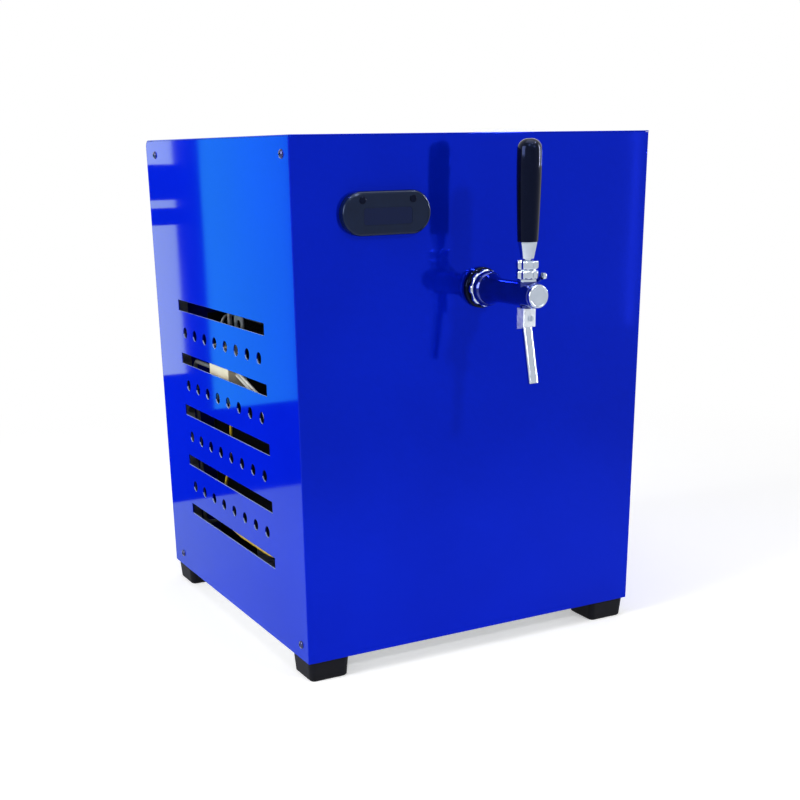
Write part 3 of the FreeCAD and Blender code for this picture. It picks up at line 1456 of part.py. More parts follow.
def fan_shroud():
    body = new_body("fan_shroud", FAN)
    plate = sketch_on(body, "YZ")
    draw_box(plate, "-condenserLength / 2", "shroudBottom - fanHeight",
             "condenserLength / 2", "shroudTop - fanHeight")
    draw_circle(plate, "0", "0", "fanRadius + fanGap")
    pad(body, plate, "sheetGauge")
    collar = sketch_on(body, "YZ")
    draw_circle(collar, "0", "0", "fanRadius + fanGap")
    draw_circle(collar, "0", "0", "fanRadius + fanGap + sheetGauge")
    pad(body, collar, "collarDepth")
    foot, top = "sheetGauge", "sheetGauge + bracketReach"
    high = "(fanRadius + fanGap + sheetGauge + bracketGap)"
    low = f"({high} - bracketGauge)"
    side = sketch_on(body, "XZ")
    draw_outline(side, [(foot, f"-{high}"), (top, f"-{high}"), (top, high), (foot, high), (foot, low),
                        (f"{top} - bracketGauge", low), (f"{top} - bracketGauge", f"-{low}"), (foot, f"-{low}")])
    pad(body, side, "bracketWidth", middle=True)
    bore = sketch_on(body, "YZ", "collarDepth")
    draw_circle(bore, "0", "0", "bracketBore")
    cut(body, bore, reverse=True)


def fan_blade():
    at = (FAN[0] + " + hubSet", FAN[1], FAN[2])
    body = new_body("fan_blade", at)
    hub = sketch_on(body, "YZ")
    draw_circle(hub, "0", "0", "hubRadius")
    pad(body, hub, "hubLength")
    sections = []
    for chord, pitch, lift in (("rootChord", "rootPitchAngle", "hubRadius - bladeOverlap"),
                               ("tipChord", "tipPitchAngle", "fanRadius")):
        section = sketch_on(body, "XY", lift)
        corners = []
        for along, across in ((-1, -1), (1, -1), (1, 1), (-1, 1)):
            corners.append((f"hubLength / 2 + {along} * {chord} / 2 * cos({pitch}) - {across} * bladeGauge / 2"
                            f" * sin({pitch})",
                            f"{along} * {chord} / 2 * sin({pitch}) + {across} * bladeGauge / 2 * cos({pitch})"))
        draw_outline(section, corners)
        sections.append(section)
    blade = body.newObject("PartDesign::AdditiveLoft", "fan_blade_loft")
    blade.Profile = sections[0]
    blade.Sections = [sections[1]]
    blade.Ruled = True
    repeat_round(body, blade, "X", "bladeCount")
    bore = sketch_on(body, "YZ", "hubLength")
    draw_circle(bore, "0", "0", "fanShaftRadius + fanShaftPlay")
    cut(body, bore, "fanShaftEngage + fanShaftPlay")


def fan_motor():
    at = (FAN[0] + " + sheetGauge + bracketReach", FAN[1], FAN[2])
    body = new_body("fan_motor", at)
    can = sketch_on(body, "YZ")
    draw_circle(can, "0", "0", "motorRadius")
    pad(body, can, "motorLength")
    dress_edges(body, "Fillet", lambda edge: lies_at(edge, "X", value("motorLength")), "motorRounding")
    shaft = sketch_on(body, "YZ")
    draw_circle(shaft, "0", "0", "fanShaftRadius")
    pad(body, shaft, "sheetGauge + bracketReach - hubSet - hubLength + fanShaftEngage", reverse=True)


# Refrigerant pipes and the drier

DISCHARGE_Z = "sheetGauge + grommetHeight + mountThickness + dischargeHeight"
SUCTION_Z = "sheetGauge + grommetHeight + mountThickness + suctionHeight"
TUBE_X = "condenserFromSide + condenserThickness / 2 - cabinetWidth / 2"
TUBE_FRONT = f"({CONDENSER_FRONT} - tubeStub)"
DRIER_X = "(cabinetWidth / 2 - drierFromSide)"
DRIER_Y = f"({TUBE_FRONT} - drierForward)"
DISCHARGE_Y = f"({COMPRESSOR_Y} - shellRadius - stubReach - dischargeReach)"


def filter_drier():
    at = (DRIER_X, f"{FRONT} + {DRIER_Y}", "footHeight + drierBottom")
    high, slope = "drierLength - drierNeck", "drierNeck + drierRadius - drierNeckRadius"
    turned("filter_drier", at, [
        ("0", "0"), ("drierNeckRadius", "0"), ("drierNeckRadius", "drierNeck"), ("drierRadius", slope),
        ("drierRadius", f"drierLength - ({slope})"), ("drierNeckRadius", high),
        ("drierNeckRadius", "drierLength"), ("0", "drierLength")], plane="XZ")


def refrigerant_pipes():
    top_tube = tube_heights()[-1]
    high, near = top_tube + " + pipeBend", DISCHARGE_Y + " - 2 * pipeBend"
    discharge = pipe_shape([
        ("compressorX", COMPRESSOR_Y + " - shellRadius - stubReach", DISCHARGE_Z),
        ("compressorX", DISCHARGE_Y, DISCHARGE_Z), ("compressorX", DISCHARGE_Y, high),
        (TUBE_X, near, high), (TUBE_X, near, top_tube), (TUBE_X, TUBE_FRONT, top_tube)],
        "pipeRadius", "pipeBend / 2")
    low = "lowestTube - liquidDrop"
    liquid = pipe_shape([
        (TUBE_X, TUBE_FRONT, "lowestTube"), (TUBE_X, DRIER_Y, "lowestTube"), (TUBE_X, DRIER_Y, low),
        (DRIER_X, DRIER_Y, low), (DRIER_X, DRIER_Y, "drierBottom")], "pipeRadius", "pipeBend")
    suction = pipe_shape([
        (BLOCK_HALF, "suctionY", SUCTION_BLOCK_Z), (RISER_X, "suctionY", SUCTION_BLOCK_Z),
        (RISER_X, "suctionY", SUCTION_Z), (RISER_X, COMPRESSOR_Y, SUCTION_Z),
        ("compressorX + shellRadius + stubReach", COMPRESSOR_Y, SUCTION_Z)], "pipeRadius", "pipeBend")
    new_shape("refrigerant_pipes", Part.Compound([discharge, liquid, suction]), CABINET)


def capillary_tube():
    shape = pipe_shape([
        (DRIER_X, DRIER_Y, "drierBottom + drierLength"), (DRIER_X, DRIER_Y, "shelfHeight - 4 * pipeBend"),
        (RISER_X, "capillaryY", "shelfHeight - 2 * pipeBend"), (RISER_X, "capillaryY", CAPILLARY_BLOCK_Z),
        (BLOCK_HALF, "capillaryY", CAPILLARY_BLOCK_Z)], "capillaryRadius", "pipeBend")
    new_shape("capillary_tube", shape, CABINET)


# Terminal box behind the left vents, and its wires

BOX_LEFT = "boxFromSide - cabinetWidth / 2"


def terminal_box():
    body = new_body("terminal_box", CABINET)
    side = sketch_on(body, "YZ", BOX_LEFT)
    draw_box(side, "boxFromFront", "boxBottom", "boxFromFront + boxLength", "boxBottom + boxHeight")
    pad(body, side, "boxThickness")
    dress_edges(body, "Fillet", lambda edge: runs_along(edge, (1, 0, 0)), "boxCorner")


def terminal_strap():
    body = new_body("terminal_strap", CABINET)
    side = sketch_on(body, "YZ", BOX_LEFT + " + boxThickness")
    draw_box(side, "boxFromFront", "boxBottom", "boxFromFront + strapWidth", "shelfHeight")
    draw_circle(side, "boxFromFront + strapWidth / 2", "shelfHeight - strapHoleDrop", "strapHoleRadius")
    pad(body, side, "sheetGauge")


def wire_run(name, radius, bend, drop="0"):
    points = []
    for number in range(1, len(ROUTES[name]) + 1):
        points.append((f"{name}X{number} - cabinetWidth / 2", f"{name}Y{number}", f"{name}Z{number} - {drop}"))
    return pipe_shape(points, radius, bend)


def wires():
    white = [wire_run("whiteWire", "wireRadius", "wireBend", drop) for drop in ("0", "wirePitch")]
    new_shape("white_wires", Part.Compound(white), CABINET)
    new_shape("yellow_wire", wire_run("yellowWire", "wireRadius", "wireBend"), CABINET)
    leads = [wire_run("thermostatLead", "leadRadius", "leadBend"),
             wire_run("fanLead", "wireRadius", "wireBend"), wire_run("mainsLead", "leadRadius", "wireBend")]
    new_shape("inner_leads", Part.Compound(leads), CABINET)


# Building, checks and files

def build():
    base_tray()
    front_panel()
    side_panel("left_side_panel", -1)
    side_panel("right_side_panel", 1)
    rear_panel()
    top_cover()
    panel_screws()
    feet()
    foot_screws()
    tap_rosette()
    tap_coupling_ring()
    tap_shank()
    shank_washer()
    shank_nut()
    tap_body()
    tap_front_cap()
    bonnet_nut()
    lever_stem()
    handle_ferrule()
    tap_handle()
    valve_shuttle()
    shuttle_seal()
    compensator_lever()
    nozzle_elbow()
    nozzle_tube()
    nozzle_screw()
    thermostat_bezel()
    display_lens()
    thermostat_case()
    thermostat_key("left_key", -1)
    thermostat_key("right_key", 1)
    beer_inlet_fitting()
    beer_inlet_nut()
    power_inlet()
    corner_posts()
    block_shelf()
    cold_block()
    foam_tray()
    foam_lid()
    beer_lines()
    compressor_shell()
    compressor_mount()
    compressor_grommets()
    compressor_bolts()
    relay_cover()
    condenser_fins()
    condenser_end_plates()
    condenser_tubes()
    fan_shroud()
    fan_blade()
    fan_motor()
    filter_drier()
    refrigerant_pipes()
    capillary_tube()
    terminal_box()
    terminal_strap()
    wires()


def check_features():
    for thing in document.Objects:
        if "Invalid" in thing.State or "Error" in thing.State:
            raise ValueError(f"{thing.Name} of {thing.Label} failed: {thing.State}")
        if thing.TypeId in ("PartDesign::Pocket", "PartDesign::Groove"):
            if thing.Shape.Volume >= thing.BaseFeature.Shape.Volume - NEAR**3:
                raise ValueError(f"{thing.Label} cuts nothing")


def sub_parts():
    return [thing for thing in document.Objects if thing.TypeId in ("PartDesign::Body", "Part::Feature")
            and not (thing.TypeId == "Part::Feature" and thing.InList)]


build()
document.recompute()
check_features()
os.makedirs("parts", exist_ok=True)
for part in sub_parts():
    if part.Shape.isNull() or not part.Shape.isValid() or not part.Shape.Solids:
        raise ValueError(f"{part.Label} has no valid solid")
    part.Shape.exportStep(f"parts/{part.Label}.step")
print(f"{len(sub_parts())} sub-parts written")
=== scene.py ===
import json
import math
import bmesh
import bpy
from mathutils import Matrix, Vector

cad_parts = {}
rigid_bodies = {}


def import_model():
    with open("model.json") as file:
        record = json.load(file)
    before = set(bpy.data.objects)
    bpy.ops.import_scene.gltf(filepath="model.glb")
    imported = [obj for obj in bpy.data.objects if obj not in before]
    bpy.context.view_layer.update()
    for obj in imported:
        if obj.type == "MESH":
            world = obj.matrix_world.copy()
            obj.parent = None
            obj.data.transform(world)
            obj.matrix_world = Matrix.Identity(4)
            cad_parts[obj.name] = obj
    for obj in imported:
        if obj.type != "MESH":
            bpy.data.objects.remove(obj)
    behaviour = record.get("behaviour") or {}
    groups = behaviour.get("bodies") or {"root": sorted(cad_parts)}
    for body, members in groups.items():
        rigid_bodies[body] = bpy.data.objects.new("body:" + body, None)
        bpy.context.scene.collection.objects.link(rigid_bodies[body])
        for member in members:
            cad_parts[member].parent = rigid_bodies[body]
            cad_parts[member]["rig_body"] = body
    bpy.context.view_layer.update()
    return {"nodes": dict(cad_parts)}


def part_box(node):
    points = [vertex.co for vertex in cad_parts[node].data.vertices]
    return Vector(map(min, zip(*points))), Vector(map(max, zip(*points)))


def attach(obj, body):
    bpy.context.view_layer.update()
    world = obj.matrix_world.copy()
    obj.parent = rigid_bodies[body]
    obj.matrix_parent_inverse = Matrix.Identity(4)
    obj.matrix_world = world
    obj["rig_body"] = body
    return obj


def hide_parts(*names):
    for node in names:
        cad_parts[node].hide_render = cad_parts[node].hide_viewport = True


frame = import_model()
nodes = frame["nodes"]
mm = 0.001


# Finishes

def toLinear(hexColour):
    # an sRGB hex colour as the linear colour that a socket holds
    shares = [int(hexColour[start:start + 2], 16) / 255 for start in (1, 3, 5)]
    return [share / 12.92 if share <= 0.04045 else ((share + 0.055) / 1.055) ** 2.4 for share in shares] + [1]


def addNode(tree, kind, inputs=None, **settings):
    # an input is a plain value, or the output socket that feeds it
    node = tree.nodes.new(kind)
    for name, setting in settings.items():
        setattr(node, name, setting)
    for name, source in (inputs or {}).items():
        if isinstance(source, bpy.types.NodeSocket):
            tree.links.new(source, node.inputs[name])
        else:
            node.inputs[name].default_value = source
    return node


def newFinish(name, colour, roughness, metallic=0.0, **sockets):
    material = bpy.data.materials.new(name)
    material.use_nodes = True
    tree = material.node_tree
    shader = tree.nodes["Principled BSDF"]
    shader.inputs["Base Color"].default_value = toLinear(colour)
    shader.inputs["Roughness"].default_value = roughness
    shader.inputs["Metallic"].default_value = metallic
    for socket, setting in sockets.items():
        shader.inputs[socket].default_value = setting
    place = addNode(tree, "ShaderNodeTexCoord").outputs["Object"]
    return material, tree, shader, place


def perMetre(size):
    # the scale of a pattern whose cells measure size millimetres
    return 1000 / size


def cloudyColour(tree, shader, place, size, dark, light, detail=2):
    # the base colour drifts between two shades in clouds of the given size in millimetres
    cloud = addNode(tree, "ShaderNodeTexNoise", {"Vector": place, "Scale": perMetre(size), "Detail": detail})
    tint = addNode(tree, "ShaderNodeMix", {0: cloud.outputs["Fac"], 6: toLinear(dark), 7: toLinear(light)},
                   data_type="RGBA")
    tree.links.new(tint.outputs[2], shader.inputs["Base Color"])
    return cloud


def unevenGloss(tree, shader, pattern, low, high):
    gloss = addNode(tree, "ShaderNodeMapRange", {"Value": pattern, "From Min": 0.3, "From Max": 0.7,
                                                 "To Min": low, "To Max": high})
    tree.links.new(gloss.outputs["Result"], shader.inputs["Roughness"])


def raisedGrain(tree, shader, place, size, height, detail=1):
    # bumps of the given size and height in millimetres
    grain = addNode(tree, "ShaderNodeTexNoise", {"Vector": place, "Scale": perMetre(size), "Detail": detail})
    bump = addNode(tree, "ShaderNodeBump", {"Height": grain.outputs["Fac"], "Distance": height * mm})
    tree.links.new(bump.outputs["Normal"], shader.inputs["Normal"])
    return bump


def blueEnamel(name="blue_metallic_enamel", ventLips=False):
    # baked metallic enamel on thin steel sheet: mirror gloss over deep blue flakes; the sheet's slow waves
    # bend what it mirrors, and a fine orange peel softens it
    look = {"colour": "#0322C8", "deep": "#021AAE", "glance": "#CBEEFF", "metal": 0.42, "gloss": 0.08,
            "roughness": 0.07, "cloud": 170, "wave": 150, "waveDepth": 0.05, "peel": 3, "peelDepth": 0.0016}
    material, tree, shader, place = newFinish(name, look["colour"], look["roughness"], look["metal"])
    shader.inputs["Specular Tint"].default_value = toLinear(look["glance"])
    shader.inputs["Specular IOR Level"].default_value = look["gloss"]
    # painted reflection: the base colour drifts between the deep and the plain blue in clouds of 170 mm,
    # standing in for the uneven surroundings that the enamel mirrors
    cloud = cloudyColour(tree, shader, place, look["cloud"], look["deep"], look["colour"])
    peel = raisedGrain(tree, shader, place, look["peel"], look["peelDepth"])
    wave = addNode(tree, "ShaderNodeTexNoise", {"Vector": place, "Scale": perMetre(look["wave"]),
                                                "Detail": 1})
    bend = addNode(tree, "ShaderNodeBump", {"Height": wave.outputs["Fac"], "Distance": look["waveDepth"] * mm,
                                            "Normal": peel.outputs["Normal"]})
    tree.links.new(bend.outputs["Normal"], shader.inputs["Normal"])
    unevenGloss(tree, shader, cloud.outputs["Fac"], look["roughness"] * 0.8, look["roughness"] * 1.3)
    if ventLips:
        paleLips(tree, shader, place)
    return material


# the colour and roughness of the painted highlight on the vents' upward lips, and where it lies
lips = {"sheet": (197.85, 0.6), "along": (36.5, 140), "height": (222, 160), "facing": 0.25,
        "highlightColour": "#B4C6F0", "dull": 0.55}


def paleLips(tree, shader, place):
    # painted highlight: pale colour where the cut lower lips of the vents face up, for the light they catch;
    # sheet, along and height are middle and reach in millimetres of the stretch of sheet that has the vents
    parts = addNode(tree, "ShaderNodeSeparateXYZ", {"Vector": place})
    side = addNode(tree, "ShaderNodeMath", {0: parts.outputs["X"]}, operation="ABSOLUTE")
    facing = addNode(tree, "ShaderNodeSeparateXYZ",
                     {"Vector": addNode(tree, "ShaderNodeNewGeometry").outputs["Normal"]})
    lip = addNode(tree, "ShaderNodeMath", {0: facing.outputs["Z"], 1: lips["facing"]},
                  operation="GREATER_THAN").outputs[0]
    for measure, (middle, reach) in ((side.outputs[0], lips["sheet"]), (parts.outputs["Y"], lips["along"]),
                                     (parts.outputs["Z"], lips["height"])):
        near = addNode(tree, "ShaderNodeMath", {0: measure, 1: middle * mm, 2: reach * mm},
                       operation="COMPARE")
        lip = addNode(tree, "ShaderNodeMath", {0: lip, 1: near.outputs[0]}, operation="MULTIPLY").outputs[0]
    # the painted highlight replaces colour, roughness and metal on those lips
    for socket, value in (("Base Color", toLinear(lips["highlightColour"])), ("Roughness", lips["dull"]),
                          ("Metallic", 0.0)):
        kept = shader.inputs[socket]
        kind, slots = ("RGBA", (6, 7)) if socket == "Base Color" else ("FLOAT", (2, 3))
        before = kept.links[0].from_socket if kept.links else kept.default_value
        mix = addNode(tree, "ShaderNodeMix", {0: lip, slots[0]: before, slots[1]: value}, data_type=kind)
        tree.links.new(mix.outputs[2 if kind == "RGBA" else 0], kept)


def blueLacquer():
    # lacquered brass of the tap's barrel: a clear deep blue over bright metal, with hard white glints
    material, tree, shader, place = newFinish("blue_lacquered_brass", "#0B1F78", 0.1, 0.75)
    shader.inputs["Specular Tint"].default_value = toLinear("#9FC4FF")
    shader.inputs["Coat Weight"].default_value = 0.8
    shader.inputs["Coat Roughness"].default_value = 0.05
    cloudyColour(tree, shader, place, 14, "#081559", "#0D2690", 3)
    raisedGrain(tree, shader, place, 1.6, 0.003)
    return material


def brightChrome():
    # chrome plate over polished brass: almost a mirror, a little blue, with the faint smudges of handling
    material, tree, shader, place = newFinish("polished_chrome", "#B4BECC", 0.06, 1.0)
    smudge = cloudyColour(tree, shader, place, 9, "#A9B4C4", "#BFC8D4", 4)
    unevenGloss(tree, shader, smudge.outputs["Fac"], 0.035, 0.11)
    return material


def satinNickel():
    # cast and tumbled nozzle block: pale satin metal that spreads what it mirrors
    material, tree, shader, place = newFinish("satin_nickel", "#D5DCE6", 0.34, 0.8)
    cloud = cloudyColour(tree, shader, place, 4, "#C3CBD7", "#E0E6EE", 3)
    unevenGloss(tree, shader, cloud.outputs["Fac"], 0.26, 0.42)
    return material


def turnedStainless():
    # turned stainless bar: fine rings round the axis left by the tool, 0.4 mm apart so that they show
    material, tree, shader, place = newFinish("turned_stainless", "#B4B2AE", 0.28, 1.0)
    spread = addNode(tree, "ShaderNodeMapping", {"Vector": place, "Scale": (1, perMetre(0.4), 1)})
    rings = addNode(tree, "ShaderNodeTexNoise", {"Vector": spread.outputs["Vector"], "Scale": 1, "Detail": 2})
    unevenGloss(tree, shader, rings.outputs["Fac"], 0.2, 0.42)
    return material


def glossPhenolic():
    # polished black phenolic of the lever's grip: deep black with hard highlights
    material, tree, shader, place = newFinish("polished_black_phenolic", "#04050B", 0.09)
    shader.inputs["Specular IOR Level"].default_value = 0.2
    shader.inputs["Specular Tint"].default_value = toLinear("#8FA6FF")
    swirl = cloudyColour(tree, shader, place, 6, "#030409", "#060814", 4)
    unevenGloss(tree, shader, swirl.outputs["Fac"], 0.04, 0.07)
    return material


def glossMoulding():
    # polished black ABS of the thermostat's bezel: dark, with a soft blue painted reflection of the enamel
    # round it in its base colour
    material, tree, shader, place = newFinish("polished_black_abs", "#0B1428", 0.16)
    shader.inputs["Specular IOR Level"].default_value = 0.3
    shader.inputs["Specular Tint"].default_value = toLinear("#B8CCFF")
    cloudyColour(tree, shader, place, 11, "#081022", "#0E1A33", 3)
    raisedGrain(tree, shader, place, 0.9, 0.004)
    return material


def mattPlastic():
    # eroded black moulding: a fine grain of 0.5 mm that breaks the shine
    material, tree, shader, place = newFinish("grained_black_plastic", "#0A0A0D", 0.5)
    shader.inputs["Specular IOR Level"].default_value = 0.3
    cloudyColour(tree, shader, place, 8, "#08080A", "#101014", 4)
    raisedGrain(tree, shader, place, 0.5, 0.02, 2)
    return material


def palePlastic(name, colour, shade):
    # moulded nylon or ABS of the inner boxes: soft sheen, slightly mottled by flow
    material, tree, shader, place = newFinish(name, colour, 0.42)
    cloudyColour(tree, shader, place, 18, shade, colour, 3)
    raisedGrain(tree, shader, place, 0.8, 0.01)
    return material


def smokedLens():
    # smoked acrylic window of the display, unlit: black glass with a trace of blue
    material, tree, shader, place = newFinish("smoked_acrylic", "#0C1A40", 0.05)
    shader.inputs["Specular IOR Level"].default_value = 0.12
    haze = addNode(tree, "ShaderNodeTexNoise", {"Vector": place, "Scale": perMetre(12), "Detail": 3})
    unevenGloss(tree, shader, haze.outputs["Fac"], 0.03, 0.09)
    return material


def footRubber():
    # moulded rubber of the feet and grommets: dull black with a dusty bloom
    material, tree, shader, place = newFinish("moulded_rubber", "#04050C", 0.6)
    shader.inputs["Specular IOR Level"].default_value = 0.12
    bloom = cloudyColour(tree, shader, place, 7, "#030409", "#0A0B14", 5)
    bump = addNode(tree, "ShaderNodeBump", {"Height": bloom.outputs["Fac"], "Distance": 0.05 * mm})
    tree.links.new(bump.outputs["Normal"], shader.inputs["Normal"])
    return material


def galvanisedSheet():
    # hot-dip zinc on folded sheet: spangle crystals about 8 mm across, each with its own shade and gloss
    material, tree, shader, place = newFinish("galvanised_sheet", "#A3A8AC", 0.4, 0.85)
    spangle = addNode(tree, "ShaderNodeTexVoronoi", {"Vector": place, "Scale": perMetre(8)})
    cell = addNode(tree, "ShaderNodeSeparateColor", {"Color": spangle.outputs["Color"]})
    tint = addNode(tree, "ShaderNodeMix", {0: cell.outputs["Red"], 6: toLinear("#868C91"),
                                           7: toLinear("#B9BDBF")}, data_type="RGBA")
    tree.links.new(tint.outputs[2], shader.inputs["Base Color"])
    unevenGloss(tree, shader, cell.outputs["Green"], 0.3, 0.52)
    return material


def zincPlate():
    # bright zinc on nuts, bolts and washers: grey metal with a faint blue cast
    material, tree, shader, place = newFinish("bright_zinc_plate", "#A9ADB3", 0.3, 1.0)
    cloud = cloudyColour(tree, shader, place, 5, "#92979E", "#BFC3C8", 3)
    unevenGloss(tree, shader, cloud.outputs["Fac"], 0.24, 0.36)
    return material


def screwPaint():
    # panel screws painted with the cabinet: dark blue and glossy
    material, tree, shader, place = newFinish("painted_screw", "#0A1550", 0.18, 0.6)
    shader.inputs["Coat Weight"].default_value = 0.6
    shader.inputs["Coat Roughness"].default_value = 0.1
    cloudyColour(tree, shader, place, 3, "#060D36", "#10206E", 3)
    return material


def expandedFoam():
    # expanded bead foam: white beads about 4 mm across pressed flat against each other
    material, tree, shader, place = newFinish("bead_foam", "#E9EAE6", 0.85)
    beads = addNode(tree, "ShaderNodeTexVoronoi", {"Vector": place, "Scale": perMetre(4)})
    bump = addNode(tree, "ShaderNodeBump", {"Height": beads.outputs["Distance"], "Distance": 0.3 * mm},
                   invert=True)
    # painted shade: the white turns greyer towards the seams between the beads, where the bump sinks
    tint = addNode(tree, "ShaderNodeMix", {0: beads.outputs["Distance"], 6: toLinear("#F0F0EC"),
                                           7: toLinear("#D9DAD5")}, data_type="RGBA")
    tree.links.new(tint.outputs[2], shader.inputs["Base Color"])
    tree.links.new(bump.outputs["Normal"], shader.inputs["Normal"])
    return material


def millAluminium():
    # rolled aluminium of the fins and the cold block: pale grey with fine rolling lines along the sheet
    material, tree, shader, place = newFinish("mill_aluminium", "#B4B8BB", 0.34, 1.0)
    spread = addNode(tree, "ShaderNodeMapping",
                     {"Vector": place, "Scale": (perMetre(0.6), perMetre(0.6), 20)})
    lines = addNode(tree, "ShaderNodeTexNoise", {"Vector": spread.outputs["Vector"], "Scale": 1, "Detail": 2})
    unevenGloss(tree, shader, lines.outputs["Fac"], 0.24, 0.46)
    return material


def drawnCopper():
    # drawn copper pipe: warm metal with brown tarnish in clouds
    material, tree, shader, place = newFinish("drawn_copper", "#C4805E", 0.3, 1.0)
    cloud = cloudyColour(tree, shader, place, 16, "#7C452C", "#D38C66", 5)
    unevenGloss(tree, shader, cloud.outputs["Fac"], 0.45, 0.22)
    return material


def blackEnamel():
    # dipped black enamel of the compressor: half gloss with a coarse orange peel
    material, tree, shader, place = newFinish("dipped_black_enamel", "#0B0B0C", 0.3)
    cloudyColour(tree, shader, place, 30, "#08080A", "#101012", 3)
    raisedGrain(tree, shader, place, 3, 0.06, 2)
    return material


def finCoatingAndShade():
    # black epoxy dip on the condenser's fins, with the grey dust that a fan draws through them; the black is
    # partly painted shade
    material, tree, shader, place = newFinish("epoxy_fins_and_painted_shade", "#050506", 0.5)
    shader.inputs["Specular IOR Level"].default_value = 0.2
    cloudyColour(tree, shader, place, 24, "#040405", "#0D0D0F", 4)
    raisedGrain(tree, shader, place, 2, 0.05, 2)
    return material


def wireSkin(name, colour, shade):
    # extruded PVC insulation: smooth, with a soft sheen and a little handling dirt
    material, tree, shader, place = newFinish(name, colour, 0.38)
    cloudyColour(tree, shader, place, 22, shade, colour, 4)
    return material


finishes = {
    "blue_paint": blueEnamel(),
    "galvanised": galvanisedSheet(),
    "zinc_plated": zincPlate(),
    "chrome": brightChrome(),
    "stainless": turnedStainless(),
    "navy_plastic": blueLacquer(),
    "black_plastic": glossPhenolic(),
    "matt_black_plastic": mattPlastic(),
    "white_plastic": palePlastic("white_nylon", "#E6E6E2", "#D6D6D0"),
    "cream_plastic": palePlastic("cream_abs", "#D9CFB4", "#C8BC9C"),
    "dark_lens": smokedLens(),
    "rubber": footRubber(),
    "foam": expandedFoam(),
    "aluminium": millAluminium(),
    "copper": drawnCopper(),
    "black_paint": blackEnamel(),
    "wire_white": wireSkin("white_pvc", "#DEDDD6", "#BDBBB0"),
    "wire_yellow": wireSkin("yellow_pvc", "#D8B92E", "#B3931C"),
    "wire_grey": wireSkin("grey_pvc", "#77797B", "#5B5D60"),
}
for node in nodes.values():
    for position, material in enumerate(node.data.materials):
        node.data.materials[position] = finishes[material.name.split(".")[0]]
print("finishes made:", len(finishes))


# Shapes shared by the pieces

def linked(name, mesh, finish, body, slot, *replaced):
    # a finished mesh becomes a piece that rides on its body
    mesh.materials.clear()
    mesh.materials.append(finish)
    piece = bpy.data.objects.new(name, mesh)
    bpy.context.scene.collection.objects.link(piece)
    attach(piece, body)
    if replaced:
        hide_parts(*replaced)
    return piece


def shadeByAngle(mesh, angle=38):
    mesh.polygons.foreach_set("use_smooth", [True] * len(mesh.polygons))
    mesh.set_sharp_from_angle(angle=math.radians(angle))


def roundedOutline(corners, steps=5):
    # corners are (radius, along) or (radius, along, rounding); a rounding turns the corner into an arc
    points = []
    for index, corner in enumerate(corners):
        here = Vector(corner[:2])
        if len(corner) == 2:
            points.append(here)
            continue
        back = (Vector(corners[index - 1][:2]) - here).normalized()
        ahead = (Vector(corners[(index + 1) % len(corners)][:2]) - here).normalized()
        half = back.angle(ahead) / 2
        centre = here + (back + ahead).normalized() * corner[2] / math.sin(half)
        first = here + back * corner[2] / math.tan(half) - centre
        last = here + ahead * corner[2] / math.tan(half) - centre
        points += [centre + first.slerp(last, step / steps) * first.length for step in range(steps + 1)]
    return points


def turnedMesh(name, outline, axis, centre, segments=96, wave=None):
    # an outline of (radius, along) in millimetres turned round Z, or round Y with along counted forwards;
    # it starts and ends on the axis, or it is closed into a ring
    form = bmesh.new()
    rings = []
    for radius, along in outline:
        if radius < 1e-6:
            turn = [0]
        else:
            turn = [2 * math.pi * number / segments for number in range(segments)]
        ring = []
        for angle in turn:
            reach = wave(angle, radius, along) if wave else radius
            across, up = reach * math.cos(angle), reach * math.sin(angle)
            offset = Vector((across, up, along)) if axis == "Z" else Vector((across, -along, up))
            ring.append(form.verts.new((Vector(centre) + offset) * mm))
        rings.append(ring)
    pairs = list(zip(rings, rings[1:]))
    if outline[0][0] > 1e-6:
        pairs.append((rings[-1], rings[0]))
    for this, after in pairs:
        for number in range(segments):
            following = (number + 1) % segments
            corners = [this[number % len(this)], this[following % len(this)],
                       after[following % len(after)], after[number % len(after)]]
            form.faces.new(list(dict.fromkeys(corners)))
    bmesh.ops.recalc_face_normals(form, faces=form.faces)
    mesh = bpy.data.meshes.new(name)
    form.to_mesh(mesh)
    form.free()
    return mesh


def easedCopy(nodeName, name, bevel, segments=2, limit=30):
    # a CAD piece with its own shape, merged, and its sharp edges eased by the bevel in millimetres
    source = nodes[nodeName].data
    bare = bpy.data.meshes.new(nodeName + "_bare")
    bare.from_pydata([vertex.co for vertex in source.vertices], [],
                     [face.vertices for face in source.polygons])
    form = bmesh.new()
    form.from_mesh(bare)
    bmesh.ops.remove_doubles(form, verts=form.verts, dist=0.002 * mm)
    bmesh.ops.dissolve_limit(form, angle_limit=math.radians(0.4), verts=form.verts, edges=form.edges)
    mesh = bpy.data.meshes.new(name)
    form.to_mesh(mesh)
    form.free()
    mesh.polygons.foreach_set("use_smooth", [True] * len(mesh.polygons))
    blank = bpy.data.objects.new(name + "_blank", mesh)
    bpy.context.scene.collection.objects.link(blank)
    ease = blank.modifiers.new("ease", "BEVEL")
    ease.width = bevel * mm
    ease.segments = segments
    ease.limit_method = "ANGLE"
    ease.angle_limit = math.radians(limit)
    ease.harden_normals = True
    ease.use_clamp_overlap = True
    eased = bpy.data.meshes.new_from_object(blank.evaluated_get(bpy.context.evaluated_depsgraph_get()))
    bpy.data.objects.remove(blank)
    eased.name = name
    return eased


def newTree(name, sizes):
    # a geometry tree with one named input for each size
    tree = bpy.data.node_groups.new(name, "GeometryNodeTree")
    tree.interface.new_socket("Places", in_out="INPUT", socket_type="NodeSocketGeometry")
    for word, size in sizes.items():
        kind = "NodeSocketInt" if isinstance(size, int) else "NodeSocketFloat"
        tree.interface.new_socket(word, in_out="INPUT", socket_type=kind)
    tree.interface.new_socket("Pieces", in_out="OUTPUT", socket_type="NodeSocketGeometry")
    return tree, tree.nodes.new("NodeGroupInput").outputs


